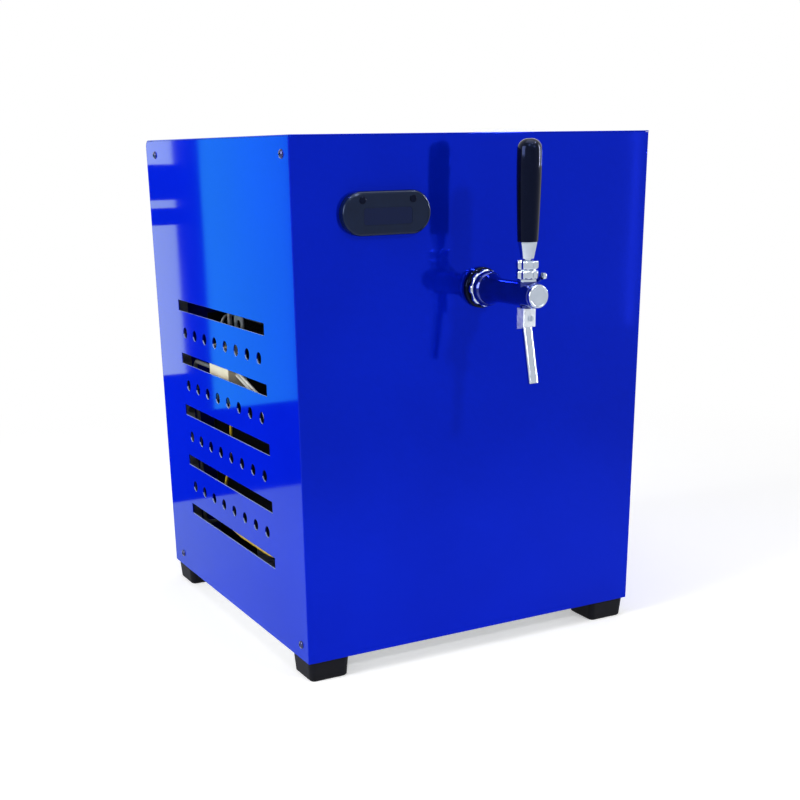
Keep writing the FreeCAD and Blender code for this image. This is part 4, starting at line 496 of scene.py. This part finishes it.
def grownMesh(name, tree, pieces, finish, places, sizes):
    # the tree's pieces, realised with their finish, as one plain mesh; places and sizes are in metres
    solid = addNode(tree, "GeometryNodeRealizeInstances", {"Geometry": pieces})
    coated = addNode(tree, "GeometryNodeSetMaterial", {"Geometry": solid.outputs[0], "Material": finish})
    output = tree.nodes.new("NodeGroupOutput")
    tree.links.new(coated.outputs[0], output.inputs[0])
    seeds = bpy.data.meshes.new(name + "_places")
    seeds.from_pydata(places, [], [])
    grower = bpy.data.objects.new(name + "_grower", seeds)
    bpy.context.scene.collection.objects.link(grower)
    modifier = grower.modifiers.new("grow", "NODES")
    modifier.node_group = tree
    for socket in tree.interface.items_tree:
        if socket.in_out == "INPUT" and socket.name in sizes:
            modifier[socket.identifier] = sizes[socket.name]
    mesh = bpy.data.meshes.new_from_object(grower.evaluated_get(bpy.context.evaluated_depsgraph_get()))
    grower.modifiers.clear()
    bpy.data.objects.remove(grower)
    mesh.name = name
    return mesh


# Cabinet

cabinet = {"edgeEase": 0.3, "ventEase": 0.55, "edgeSteps": 2}


def makePanels():
    # the sheared and punched edges of the sheets carry a thin roll of enamel that catches the light
    vented = blueEnamel("blue_metallic_enamel_vented", True)
    for panel in ("front_panel", "left_side_panel", "right_side_panel", "rear_panel"):
        side = "side" in panel
        mesh = easedCopy(panel, panel + "_enamelled", cabinet["ventEase" if side else "edgeEase"],
                         cabinet["edgeSteps"])
        finish = vented if side else finishes["blue_paint"]
        linked(panel + "_enamelled", mesh, finish, "cabinet", "blue_paint", panel)


screws = {"Head Radius": 4.2, "Head Height": 2.2, "Recess Length": 4.6, "Recess Width": 1.1,
          "Recess Depth": 1.3, "Shank Radius": 2.0, "Shank Length": 7.0,
          "fromFront": 17, "fromRear": 31, "fromEnd": 16, "seed": 4}


def makePanelScrews():
    # button heads with a cross recess, each turned to where it came tight
    sizes = {word: size for word, size in screws.items() if word[0].isupper()}
    tree, given = newTree("panel_screw_heads", sizes)
    ball = addNode(tree, "GeometryNodeMeshUVSphere", {"Segments": 40, "Rings": 24,
                                                      "Radius": given["Head Radius"]})
    squash = addNode(tree, "ShaderNodeMath", {0: given["Head Height"], 1: given["Head Radius"]},
                     operation="DIVIDE")
    scale = addNode(tree, "ShaderNodeCombineXYZ", {"X": 1.0, "Y": 1.0, "Z": squash.outputs[0]})
    crown = addNode(tree, "GeometryNodeTransform", {"Geometry": ball.outputs["Mesh"],
                                                    "Scale": scale.outputs[0]})
    deep = addNode(tree, "ShaderNodeMath", {0: given["Recess Depth"], 1: 2.0}, operation="MULTIPLY")
    bar = addNode(tree, "ShaderNodeCombineXYZ", {"X": given["Recess Length"], "Y": given["Recess Width"],
                                                 "Z": deep.outputs[0]})
    blade = addNode(tree, "GeometryNodeMeshCube", {"Size": bar.outputs[0]})
    top = addNode(tree, "ShaderNodeCombineXYZ", {"Z": given["Head Height"]})
    wide = addNode(tree, "ShaderNodeMath", {0: given["Head Radius"], 1: 3.0}, operation="MULTIPLY")
    half = addNode(tree, "ShaderNodeMath", {0: wide.outputs[0], 1: -0.5}, operation="MULTIPLY")
    under = addNode(tree, "ShaderNodeCombineXYZ", {"Z": half.outputs[0]})
    block = addNode(tree, "GeometryNodeMeshCube", {"Size": wide.outputs[0]})
    head = addNode(tree, "GeometryNodeMeshBoolean", {"Mesh 1": crown.outputs[0]}, operation="DIFFERENCE",
                   solver="EXACT")
    for cutter, place, turn in ((block, under, 0), (blade, top, 0), (blade, top, math.pi / 2)):
        moved = addNode(tree, "GeometryNodeTransform", {"Geometry": cutter.outputs["Mesh"],
                                                        "Translation": place.outputs[0],
                                                        "Rotation": (0, 0, turn)})
        tree.links.new(moved.outputs[0], head.inputs["Mesh 2"])
    stem = addNode(tree, "GeometryNodeMeshCylinder", {"Vertices": 24, "Radius": given["Shank Radius"],
                                                      "Depth": given["Shank Length"]})
    down = addNode(tree, "ShaderNodeMath", {0: given["Shank Length"], 1: -0.5}, operation="MULTIPLY")
    low = addNode(tree, "ShaderNodeCombineXYZ", {"Z": down.outputs[0]})
    shank = addNode(tree, "GeometryNodeTransform", {"Geometry": stem.outputs["Mesh"],
                                                    "Translation": low.outputs[0]})
    whole = addNode(tree, "GeometryNodeJoinGeometry")
    tree.links.new(head.outputs["Mesh"], whole.inputs[0])
    tree.links.new(shank.outputs[0], whole.inputs[0])
    parts = addNode(tree, "ShaderNodeSeparateXYZ",
                    {"Vector": addNode(tree, "GeometryNodeInputPosition").outputs[0]})
    outward = addNode(tree, "ShaderNodeCombineXYZ", {"X": parts.outputs["X"]})
    facing = addNode(tree, "FunctionNodeAlignRotationToVector", {"Vector": outward.outputs[0]}, axis="Z")
    placed = addNode(tree, "GeometryNodeInstanceOnPoints", {"Points": given["Places"],
                                                            "Instance": whole.outputs[0],
                                                            "Rotation": facing.outputs[0]})
    spin = addNode(tree, "FunctionNodeRandomValue", {"Max": math.pi / 2, "Seed": screws["seed"]},
                   data_type="FLOAT")
    angle = addNode(tree, "ShaderNodeCombineXYZ", {"Z": spin.outputs[1]})
    turned = addNode(tree, "GeometryNodeRotateInstances", {"Instances": placed.outputs[0],
                                                           "Rotation": angle.outputs[0]})
    low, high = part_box("left_side_panel")
    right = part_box("right_side_panel")[1][0]
    bottom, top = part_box("base_tray")[0][2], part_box("top_cover")[1][2]
    front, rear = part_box("front_panel")[0][1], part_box("rear_panel")[1][1]
    places = [(x, y, z) for x in (low[0], right)
              for y in (front + screws["fromFront"] * mm, rear - screws["fromRear"] * mm)
              for z in (bottom + screws["fromEnd"] * mm, top - screws["fromEnd"] * mm)]
    coating = screwPaint()
    mesh = grownMesh("panel_screw_heads", tree, turned.outputs[0], coating, places,
                     {word: size * mm for word, size in sizes.items()})
    shadeByAngle(mesh, 30)
    linked("panel_screw_heads", mesh, coating, "cabinet", "zinc_plated", "panel_screws")


finPack = {"Fins": 58, "Gauge": 0.35, "Ripple": 0.5, "ripplesAcross": 3, "endMargin": 1}


def makeFinPack():
    # pressed aluminium fins across the condenser's tubes, each with a shallow ripple
    low, high = (Vector(corner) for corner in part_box("condenser_fins"))
    size = high - low
    margin = finPack["endMargin"] * mm
    sizes = {word: finPack[word] for word in ("Fins", "Gauge", "Ripple")}
    tree, given = newTree("condenser_fin_pack", {**sizes, "Depth": 0.0, "Run": 0.0, "Height": 0.0})
    slab = addNode(tree, "ShaderNodeCombineXYZ", {"X": given["Depth"], "Y": given["Gauge"],
                                                  "Z": given["Height"]})
    sheet = addNode(tree, "GeometryNodeMeshCube", {"Size": slab.outputs[0], "Vertices X": 13,
                                                   "Vertices Y": 2, "Vertices Z": 2})
    parts = addNode(tree, "ShaderNodeSeparateXYZ",
                    {"Vector": addNode(tree, "GeometryNodeInputPosition").outputs[0]})
    phase = addNode(tree, "ShaderNodeMath", {0: parts.outputs["X"],
                                             1: 2 * math.pi * finPack["ripplesAcross"] / size.x},
                    operation="MULTIPLY")
    sine = addNode(tree, "ShaderNodeMath", {0: phase.outputs[0]}, operation="SINE")
    height = addNode(tree, "ShaderNodeMath", {0: sine.outputs[0], 1: given["Ripple"]}, operation="MULTIPLY")
    shift = addNode(tree, "ShaderNodeCombineXYZ", {"Y": height.outputs[0]})
    rippled = addNode(tree, "GeometryNodeSetPosition", {"Geometry": sheet.outputs["Mesh"],
                                                        "Offset": shift.outputs[0]})
    gaps = addNode(tree, "ShaderNodeMath", {0: given["Fins"], 1: 1.0}, operation="SUBTRACT")
    pitch = addNode(tree, "ShaderNodeMath", {0: given["Run"], 1: gaps.outputs[0]}, operation="DIVIDE")
    step = addNode(tree, "ShaderNodeCombineXYZ", {"Y": pitch.outputs[0]})
    row = addNode(tree, "GeometryNodeMeshLine", {"Count": given["Fins"], "Offset": step.outputs[0],
                                                 "Start Location": (low.x + size.x / 2, low.y + margin,
                                                                    low.z + size.z / 2)})
    placed = addNode(tree, "GeometryNodeInstanceOnPoints", {"Points": row.outputs[0],
                                                            "Instance": rippled.outputs[0]})
    coating = finCoatingAndShade()
    mesh = grownMesh("condenser_fin_pack", tree, placed.outputs[0], coating, [low],
                     {"Fins": finPack["Fins"], "Gauge": finPack["Gauge"] * mm,
                      "Ripple": finPack["Ripple"] * mm, "Depth": size.x, "Run": size.y - 2 * margin,
                      "Height": size.z})
    linked("condenser_fin_pack", mesh, coating, "cabinet", "black_paint", "condenser_fins")
    # the end plates take the same black: partly coating, partly painted shade for the dark inside behind the
    # vents
    for position in range(len(nodes["condenser_end_plates"].data.materials)):
        nodes["condenser_end_plates"].data.materials[position] = coating


makePanels()
makePanelScrews()
makeFinPack()
print("cabinet dressed")


# Tap

tap = {"centreX": 0, "height": 379.5, "front": -164.5, "bonnetY": -244.5}
ring = {"from": 5, "to": 12, "radius": 18, "bore": 11.6, "wall": 2, "bevel": 2.6, "notches": 8,
        "notchDepth": 1.4, "notchShare": 0.3, "segments": 192, "sharpAngle": 34}
cap = {"from": 96, "to": 100, "radius": 10.5, "spigot": 7.3, "spigotLength": 5.5, "bevel": 0.9, "rim": 1.5,
       "rimRound": 0.3, "slope": 0.4, "slopeRound": 0.2, "dish": 0.45, "sharpAngle": 34}
bonnet = {"lobes": 9, "lobeDepth": 1.4, "bottom": 391.7, "neckTop": 393.9, "waist": 401.5, "waistTop": 402.6,
          "top": 410, "radius": 10.6, "neck": 8.6, "bore": 7.3, "waistDepth": 2.2, "mouth": 9.4, "lip": 5.9,
          "lipHeight": 406, "ball": 6.35, "ballHeight": 403.5, "boreStart": 2, "flare": 0.2,
          "grooveEase": 0.15, "plainBand": 0.4, "neckRound": 0.3, "footRound": 1.6, "round": 1.9,
          "topRound": 1.1, "edgeRound": 0.2, "lipRound": 0.15, "segments": 200, "sharpAngle": 40}
grip = {"bottom": 426.6, "top": 515.5, "crown": 9.5, "foot": 0.8, "endGap": 1, "spanSteps": 4,
        "roundSteps": 12, "sharpAngle": 50,
        "radii": [(9.5, 426.6), (10.1, 440), (10.6, 456), (11.05, 472), (11.35, 488), (11.3, 502),
                  (11.0, 515.5)]}
elbow = {"ease": 1.2, "steps": 4}


def makeCouplingRing():
    # the union ring that pulls the tap onto its shank, with notches for a hook spanner
    outline = roundedOutline([(ring["bore"], ring["from"]), (ring["radius"], ring["from"], ring["bevel"]),
                              (ring["radius"], ring["to"], ring["bevel"]), (ring["bore"], ring["to"])])

    def notched(angle, radius, along):
        # a smooth hollow at each notch, only in the outer wall
        if radius < ring["bore"] + ring["wall"]:
            return radius
        place = angle * ring["notches"] / (2 * math.pi) % 1 - 0.5
        hollow = max(0, 1 - (place / ring["notchShare"]) ** 2)
        return radius - ring["notchDepth"] * hollow

    centre = (tap["centreX"], tap["front"], tap["height"])
    mesh = turnedMesh("coupling_ring_chromed", outline, "Y", centre, ring["segments"], notched)
    shadeByAngle(mesh, ring["sharpAngle"])
    linked("coupling_ring_chromed", mesh, finishes["chrome"], nodes["tap_coupling_ring"]["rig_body"], "chrome",
           "tap_coupling_ring")


def makeFrontCap():
    # the screwed cap in the barrel's nose: a bright rim round a slightly dished face
    rim, dish = cap["radius"] - cap["rim"], cap["to"] - cap["dish"]
    root = cap["from"] - cap["spigotLength"]
    outline = roundedOutline([(0, root), (cap["spigot"], root), (cap["spigot"], cap["from"]),
                              (cap["radius"], cap["from"]), (cap["radius"], cap["to"], cap["bevel"]),
                              (rim, cap["to"], cap["rimRound"]),
                              (rim - cap["slope"], dish, cap["slopeRound"]), (0, dish)])
    centre = (tap["centreX"], tap["front"], tap["height"])
    mesh = turnedMesh("front_cap_chromed", outline, "Y", centre)
    shadeByAngle(mesh, cap["sharpAngle"])
    linked("front_cap_chromed", mesh, finishes["chrome"], nodes["tap_front_cap"]["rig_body"], "chrome",
           "tap_front_cap")


def makeBonnet():
    # the bonnet that holds the lever's ball: two tiers of rounded lobes for a good hold, over a plain neck
    look = bonnet
    waist = look["radius"] - look["waistDepth"]
    outline = roundedOutline([
        (look["bore"], look["bottom"]), (look["neck"], look["bottom"]),
        (look["neck"], look["neckTop"], look["neckRound"]),
        (look["radius"], look["neckTop"] + look["flare"], look["footRound"]),
        (look["radius"], look["waist"], look["round"]),
        (waist, look["waist"] + look["grooveEase"], look["edgeRound"]),
        (waist, look["waistTop"] - look["grooveEase"], look["edgeRound"]),
        (look["radius"], look["waistTop"], look["round"]), (look["radius"], look["top"], look["topRound"]),
        (look["mouth"], look["top"], look["edgeRound"]), (look["lip"], look["lipHeight"], look["lipRound"]),
        (look["ball"], look["ballHeight"]), (look["bore"], look["bottom"] + look["boreStart"])])

    def lobed(angle, radius, along):
        # rounded lobes on the outside of the two tiers, shallow towards the waist and the neck
        if radius < look["neck"] + look["plainBand"] or along < look["neckTop"]:
            return radius
        depth = look["lobeDepth"] * min(1, (radius - look["neck"]) / (look["radius"] - look["neck"]))
        return radius - depth * math.cos(angle * look["lobes"] / 2) ** 2

    centre = (tap["centreX"], tap["bonnetY"], 0)
    mesh = turnedMesh("bonnet_chromed", outline, "Z", centre, look["segments"], lobed)
    shadeByAngle(mesh, look["sharpAngle"])
    linked("bonnet_chromed", mesh, finishes["chrome"], nodes["bonnet_nut"]["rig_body"], "chrome", "bonnet_nut")


def makeGrip():
    # the moulded grip swells towards the hand and ends in a round crown; its side is a smooth curve through
    # the given radii
    radii, sides = grip["radii"], []
    for index in range(len(radii) - 1):
        before, start, end, after = (Vector(radii[max(0, min(len(radii) - 1, index + step))])
                                     for step in (-1, 0, 1, 2))
        for step in range(grip["spanSteps"]):
            share = step / grip["spanSteps"]
            smooth = (2 * start + (end - before) * share
                      + (2 * before - 5 * start + 4 * end - after) * share ** 2
                      + (3 * start - before - 3 * end + after) * share ** 3) / 2
            if grip["bottom"] + grip["endGap"] < smooth.y < grip["top"] - grip["crown"] - grip["endGap"]:
                sides.append((smooth.x, smooth.y))
    outline = roundedOutline([(0, grip["bottom"]), (radii[0][0], grip["bottom"], grip["foot"])] + sides
                             + [(radii[-1][0], grip["top"], grip["crown"]), (0, grip["top"])],
                             grip["roundSteps"])
    mesh = turnedMesh("grip_polished", outline, "Z", (tap["centreX"], tap["bonnetY"], 0))
    shadeByAngle(mesh, grip["sharpAngle"])
    linked("grip_polished", mesh, finishes["black_plastic"], nodes["tap_handle"]["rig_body"], "black_plastic",
           "tap_handle")


def makeElbow():
    # the block under the barrel that carries the tube, with its cast edges rubbed round
    mesh = easedCopy("nozzle_elbow", "nozzle_elbow_chromed", elbow["ease"], elbow["steps"])
    linked("nozzle_elbow_chromed", mesh, satinNickel(), nodes["nozzle_elbow"]["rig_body"], "chrome",
           "nozzle_elbow")


makeCouplingRing()
makeFrontCap()
makeBonnet()
makeGrip()
makeElbow()
print("tap dressed")


# Thermostat

def makeBezel():
    # the bezel keeps its solid and only gets the polished moulding's finish
    moulding = glossMoulding()
    for position in range(len(nodes["thermostat_bezel"].data.materials)):
        nodes["thermostat_bezel"].data.materials[position] = moulding


makeBezel()
print("thermostat dressed")


# Rear fittings

inletPins = {"width": 2.2, "height": 4.2, "length": 14, "root": 223.5, "ease": 0.5, "easeSteps": 2,
             "places": [(-117, 82.5), (-110, 85.5), (-103, 82.5)]}


def makeInletPins():
    # the three nickel-plated pins of the power inlet
    form = bmesh.new()
    size = Vector((inletPins["width"], inletPins["length"], inletPins["height"])) * mm
    for x, z in inletPins["places"]:
        middle = Vector((x, inletPins["root"] + inletPins["length"] / 2, z)) * mm
        place = Matrix.Translation(middle) @ Matrix.Diagonal(size).to_4x4()
        made = bmesh.ops.create_cube(form, size=1, matrix=place)
        edges = {edge for vertex in made["verts"] for edge in vertex.link_edges}
        bmesh.ops.bevel(form, geom=list(edges), offset=inletPins["ease"] * mm,
                        segments=inletPins["easeSteps"], affect="EDGES", profile=0.5)
    mesh = bpy.data.meshes.new("inlet_pins")
    form.to_mesh(mesh)
    form.free()
    shadeByAngle(mesh)
    linked("inlet_pins", mesh, finishes["zinc_plated"], nodes["power_inlet"]["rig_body"], "zinc_plated")


makeInletPins()
print("rear fittings dressed")


# Studio: floor, lights, world and camera

studio = {"floorRadius": 30, "fadeFrom": 0.5, "fadeTo": 1.4, "floorColour": "#E9E9E9", "floorGlow": 0.4,
          "worldFill": 0.23}


def seenDirectly(tree):
    # 1 for what the camera sees, straight or through gloss and glass, and 0 for light on dull surfaces
    path = addNode(tree, "ShaderNodeLightPath")
    seen = addNode(tree, "ShaderNodeMath", {0: path.outputs["Is Camera Ray"],
                                            1: path.outputs["Is Glossy Ray"]}, operation="MAXIMUM")
    through = addNode(tree, "ShaderNodeMath", {0: seen.outputs[0],
                                               1: path.outputs["Is Transmission Ray"]}, operation="MAXIMUM")
    return through.outputs[0]


def makeFloor():
    # a white sweep: it glows evenly far away, and near the object it keeps the shadow
    bpy.ops.mesh.primitive_circle_add(vertices=96, radius=studio["floorRadius"], fill_type="NGON")
    floor = bpy.context.active_object
    floor.name = "studio_floor"
    material, tree, shader, place = newFinish("white_sweep", studio["floorColour"], 0.9)
    away = addNode(tree, "ShaderNodeVectorMath", {0: place}, operation="LENGTH")
    fade = addNode(tree, "ShaderNodeMapRange",
                   {"Value": away.outputs["Value"], "From Min": studio["fadeFrom"],
                    "From Max": studio["fadeTo"]}, interpolation_type="SMOOTHSTEP")
    white = addNode(tree, "ShaderNodeEmission", {"Color": (1, 1, 1, 1), "Strength": 1})
    glow = addNode(tree, "ShaderNodeEmission", {"Color": (1, 1, 1, 1), "Strength": studio["floorGlow"]})
    near = addNode(tree, "ShaderNodeAddShader", {0: shader.outputs["BSDF"], 1: glow.outputs["Emission"]})
    far = addNode(tree, "ShaderNodeMixShader", {0: fade.outputs["Result"], 1: near.outputs["Shader"],
                                                2: white.outputs["Emission"]})
    either = addNode(tree, "ShaderNodeMixShader", {0: seenDirectly(tree), 1: shader.outputs["BSDF"],
                                                   2: far.outputs["Shader"]})
    tree.links.new(either.outputs["Shader"], tree.nodes["Material Output"].inputs["Surface"])
    floor.data.materials.append(material)


def makeWorld():
    world = bpy.data.worlds.new("studio_world")
    bpy.context.scene.world = world
    world.use_nodes = True
    tree = world.node_tree
    level = addNode(tree, "ShaderNodeMapRange", {"Value": seenDirectly(tree), "To Min": studio["worldFill"],
                                                 "To Max": 1.0})
    background = tree.nodes["Background"]
    background.inputs["Color"].default_value = (1, 1, 1, 1)
    tree.links.new(level.outputs["Result"], background.inputs["Strength"])


def addSoftbox(name, place, target, width, height, watts):
    lamp = bpy.data.lights.new(name, "AREA")
    lamp.shape = "RECTANGLE"
    lamp.size, lamp.size_y = width, height
    lamp.energy = watts
    box = bpy.data.objects.new(name, lamp)
    bpy.context.scene.collection.objects.link(box)
    box.location = place
    box.rotation_euler = (Vector(target) - Vector(place)).to_track_quat("-Z", "Y").to_euler()
    box.visible_camera = False
    return box


def addBoard(name, corners, colour, level):
    # a lit board that shows only in what is glossy
    board = bpy.data.meshes.new(name)
    board.from_pydata(corners, [], [(0, 1, 2, 3)])
    material = bpy.data.materials.new(name)
    material.use_nodes = True
    shader = material.node_tree.nodes["Principled BSDF"]
    shader.inputs["Base Color"].default_value = (0, 0, 0, 1)
    shader.inputs["Specular IOR Level"].default_value = 0
    shader.inputs["Emission Color"].default_value = toLinear(colour)
    shader.inputs["Emission Strength"].default_value = level
    board.materials.append(material)
    panel = bpy.data.objects.new(name, board)
    bpy.context.scene.collection.objects.link(panel)
    panel.visible_camera = panel.visible_diffuse = panel.visible_shadow = panel.visible_transmission = False


boardWall = {"y": 0.45, "step": 0.002}  # the coloured boards stand one step before the deep one
boards = {  # left, right, low and high in metres, colour, level and steps forward
    "deep_board": (-0.50, -0.24, 0.035, 0.56, "#1138F0", 1.3, 0),
    "azure_board": (-0.4715, -0.338, 0.163, 0.56, "#61FFFF", 1.8, 1),
    "pale_board_top": (-0.3010, -0.24, 0.494, 0.56, "#FFF2BE", 3.4, 1),
    "pale_board_strip": (-0.3010, -0.24, 0.439, 0.449, "#FFF2BE", 3.0, 1),
    "pale_board_long": (-0.3000, -0.24, 0.218, 0.417, "#FFF2BE", 3.0, 1)}


def makeBoards():
    # boards behind the left side, which its enamel mirrors: deep blue, azure and pale
    for name, (left, right, low, high, colour, level, forward) in boards.items():
        y = boardWall["y"] - boardWall["step"] * forward
        addBoard(name, [(left, y, low), (right, y, low), (right, y, high), (left, y, high)], colour, level)


tapTarget = (0, -0.25, 0.45)
softLamps = {  # place, target, width and height in metres, then watts
    "key_left": ((-2.4, -0.15, 1.2), (-0.2, 0, 0.26), 1.4, 1.4, 62),
    "lamp_right": ((0.53, -2.09, 1.53), (0, -0.24, 0.47), 0.18, 0.18, 16),
    "top_soft": ((0.1, -0.2, 2.4), (0, 0, 0.26), 1.6, 1.6, 20),
    "right_strip": ((1.87, -2.0, 0.45), (0, -0.2, 0.4), 0.02, 2.0, 0.22)}
glintLamps = {
    "side_strip": ((1.8, -0.8, 0.9), tapTarget, 0.07, 0.9, 34),
    "ceiling_lamp_1": ((-0.7, -1.1, 2.2), tapTarget, 0.09, 0.09, 18),
    "ceiling_lamp_2": ((0.25, -1.5, 2.3), tapTarget, 0.09, 0.09, 18),
    "ceiling_lamp_3": ((1.1, -0.7, 2.1), tapTarget, 0.09, 0.09, 18)}


def makeLights():
    # a soft key on the left side, a smaller lamp high on the right that draws the tap's shadow on the front,
    # a soft top light and a weak strip; the glint lamps show only on chrome, black and enamel
    for name, lamp in softLamps.items():
        addSoftbox(name, *lamp)
    for name, lamp in glintLamps.items():
        addSoftbox(name, *lamp).visible_diffuse = False


view = {"right": (0.883, -0.4691, -0.0165), "up": (0.1689, 0.2847, 0.9436), "back": (-0.438, -0.836, 0.3307),
        "place": (-0.6676, -1.2273, 0.5089), "sensor": 36, "lens": 56.37, "shift": (0.0184, 0.2344),
        "farClip": 100}


def makeCamera():
    # the photograph's viewpoint: left of the front and a little above the top
    data = bpy.data.cameras.new("photo_camera")
    camera = bpy.data.objects.new("photo_camera", data)
    bpy.context.scene.collection.objects.link(camera)
    turn = Matrix((view["right"], view["up"], view["back"])).transposed()
    camera.matrix_world = Matrix.Translation(view["place"]) @ turn.to_4x4()
    data.sensor_width = view["sensor"]
    data.lens = view["lens"]
    data.shift_x, data.shift_y = view["shift"]
    data.clip_end = view["farClip"]
    bpy.context.scene.camera = camera


makeFloor()
makeWorld()
makeLights()
makeBoards()
makeCamera()
bpy.context.scene.view_settings.view_transform = "Standard"
print("studio ready")
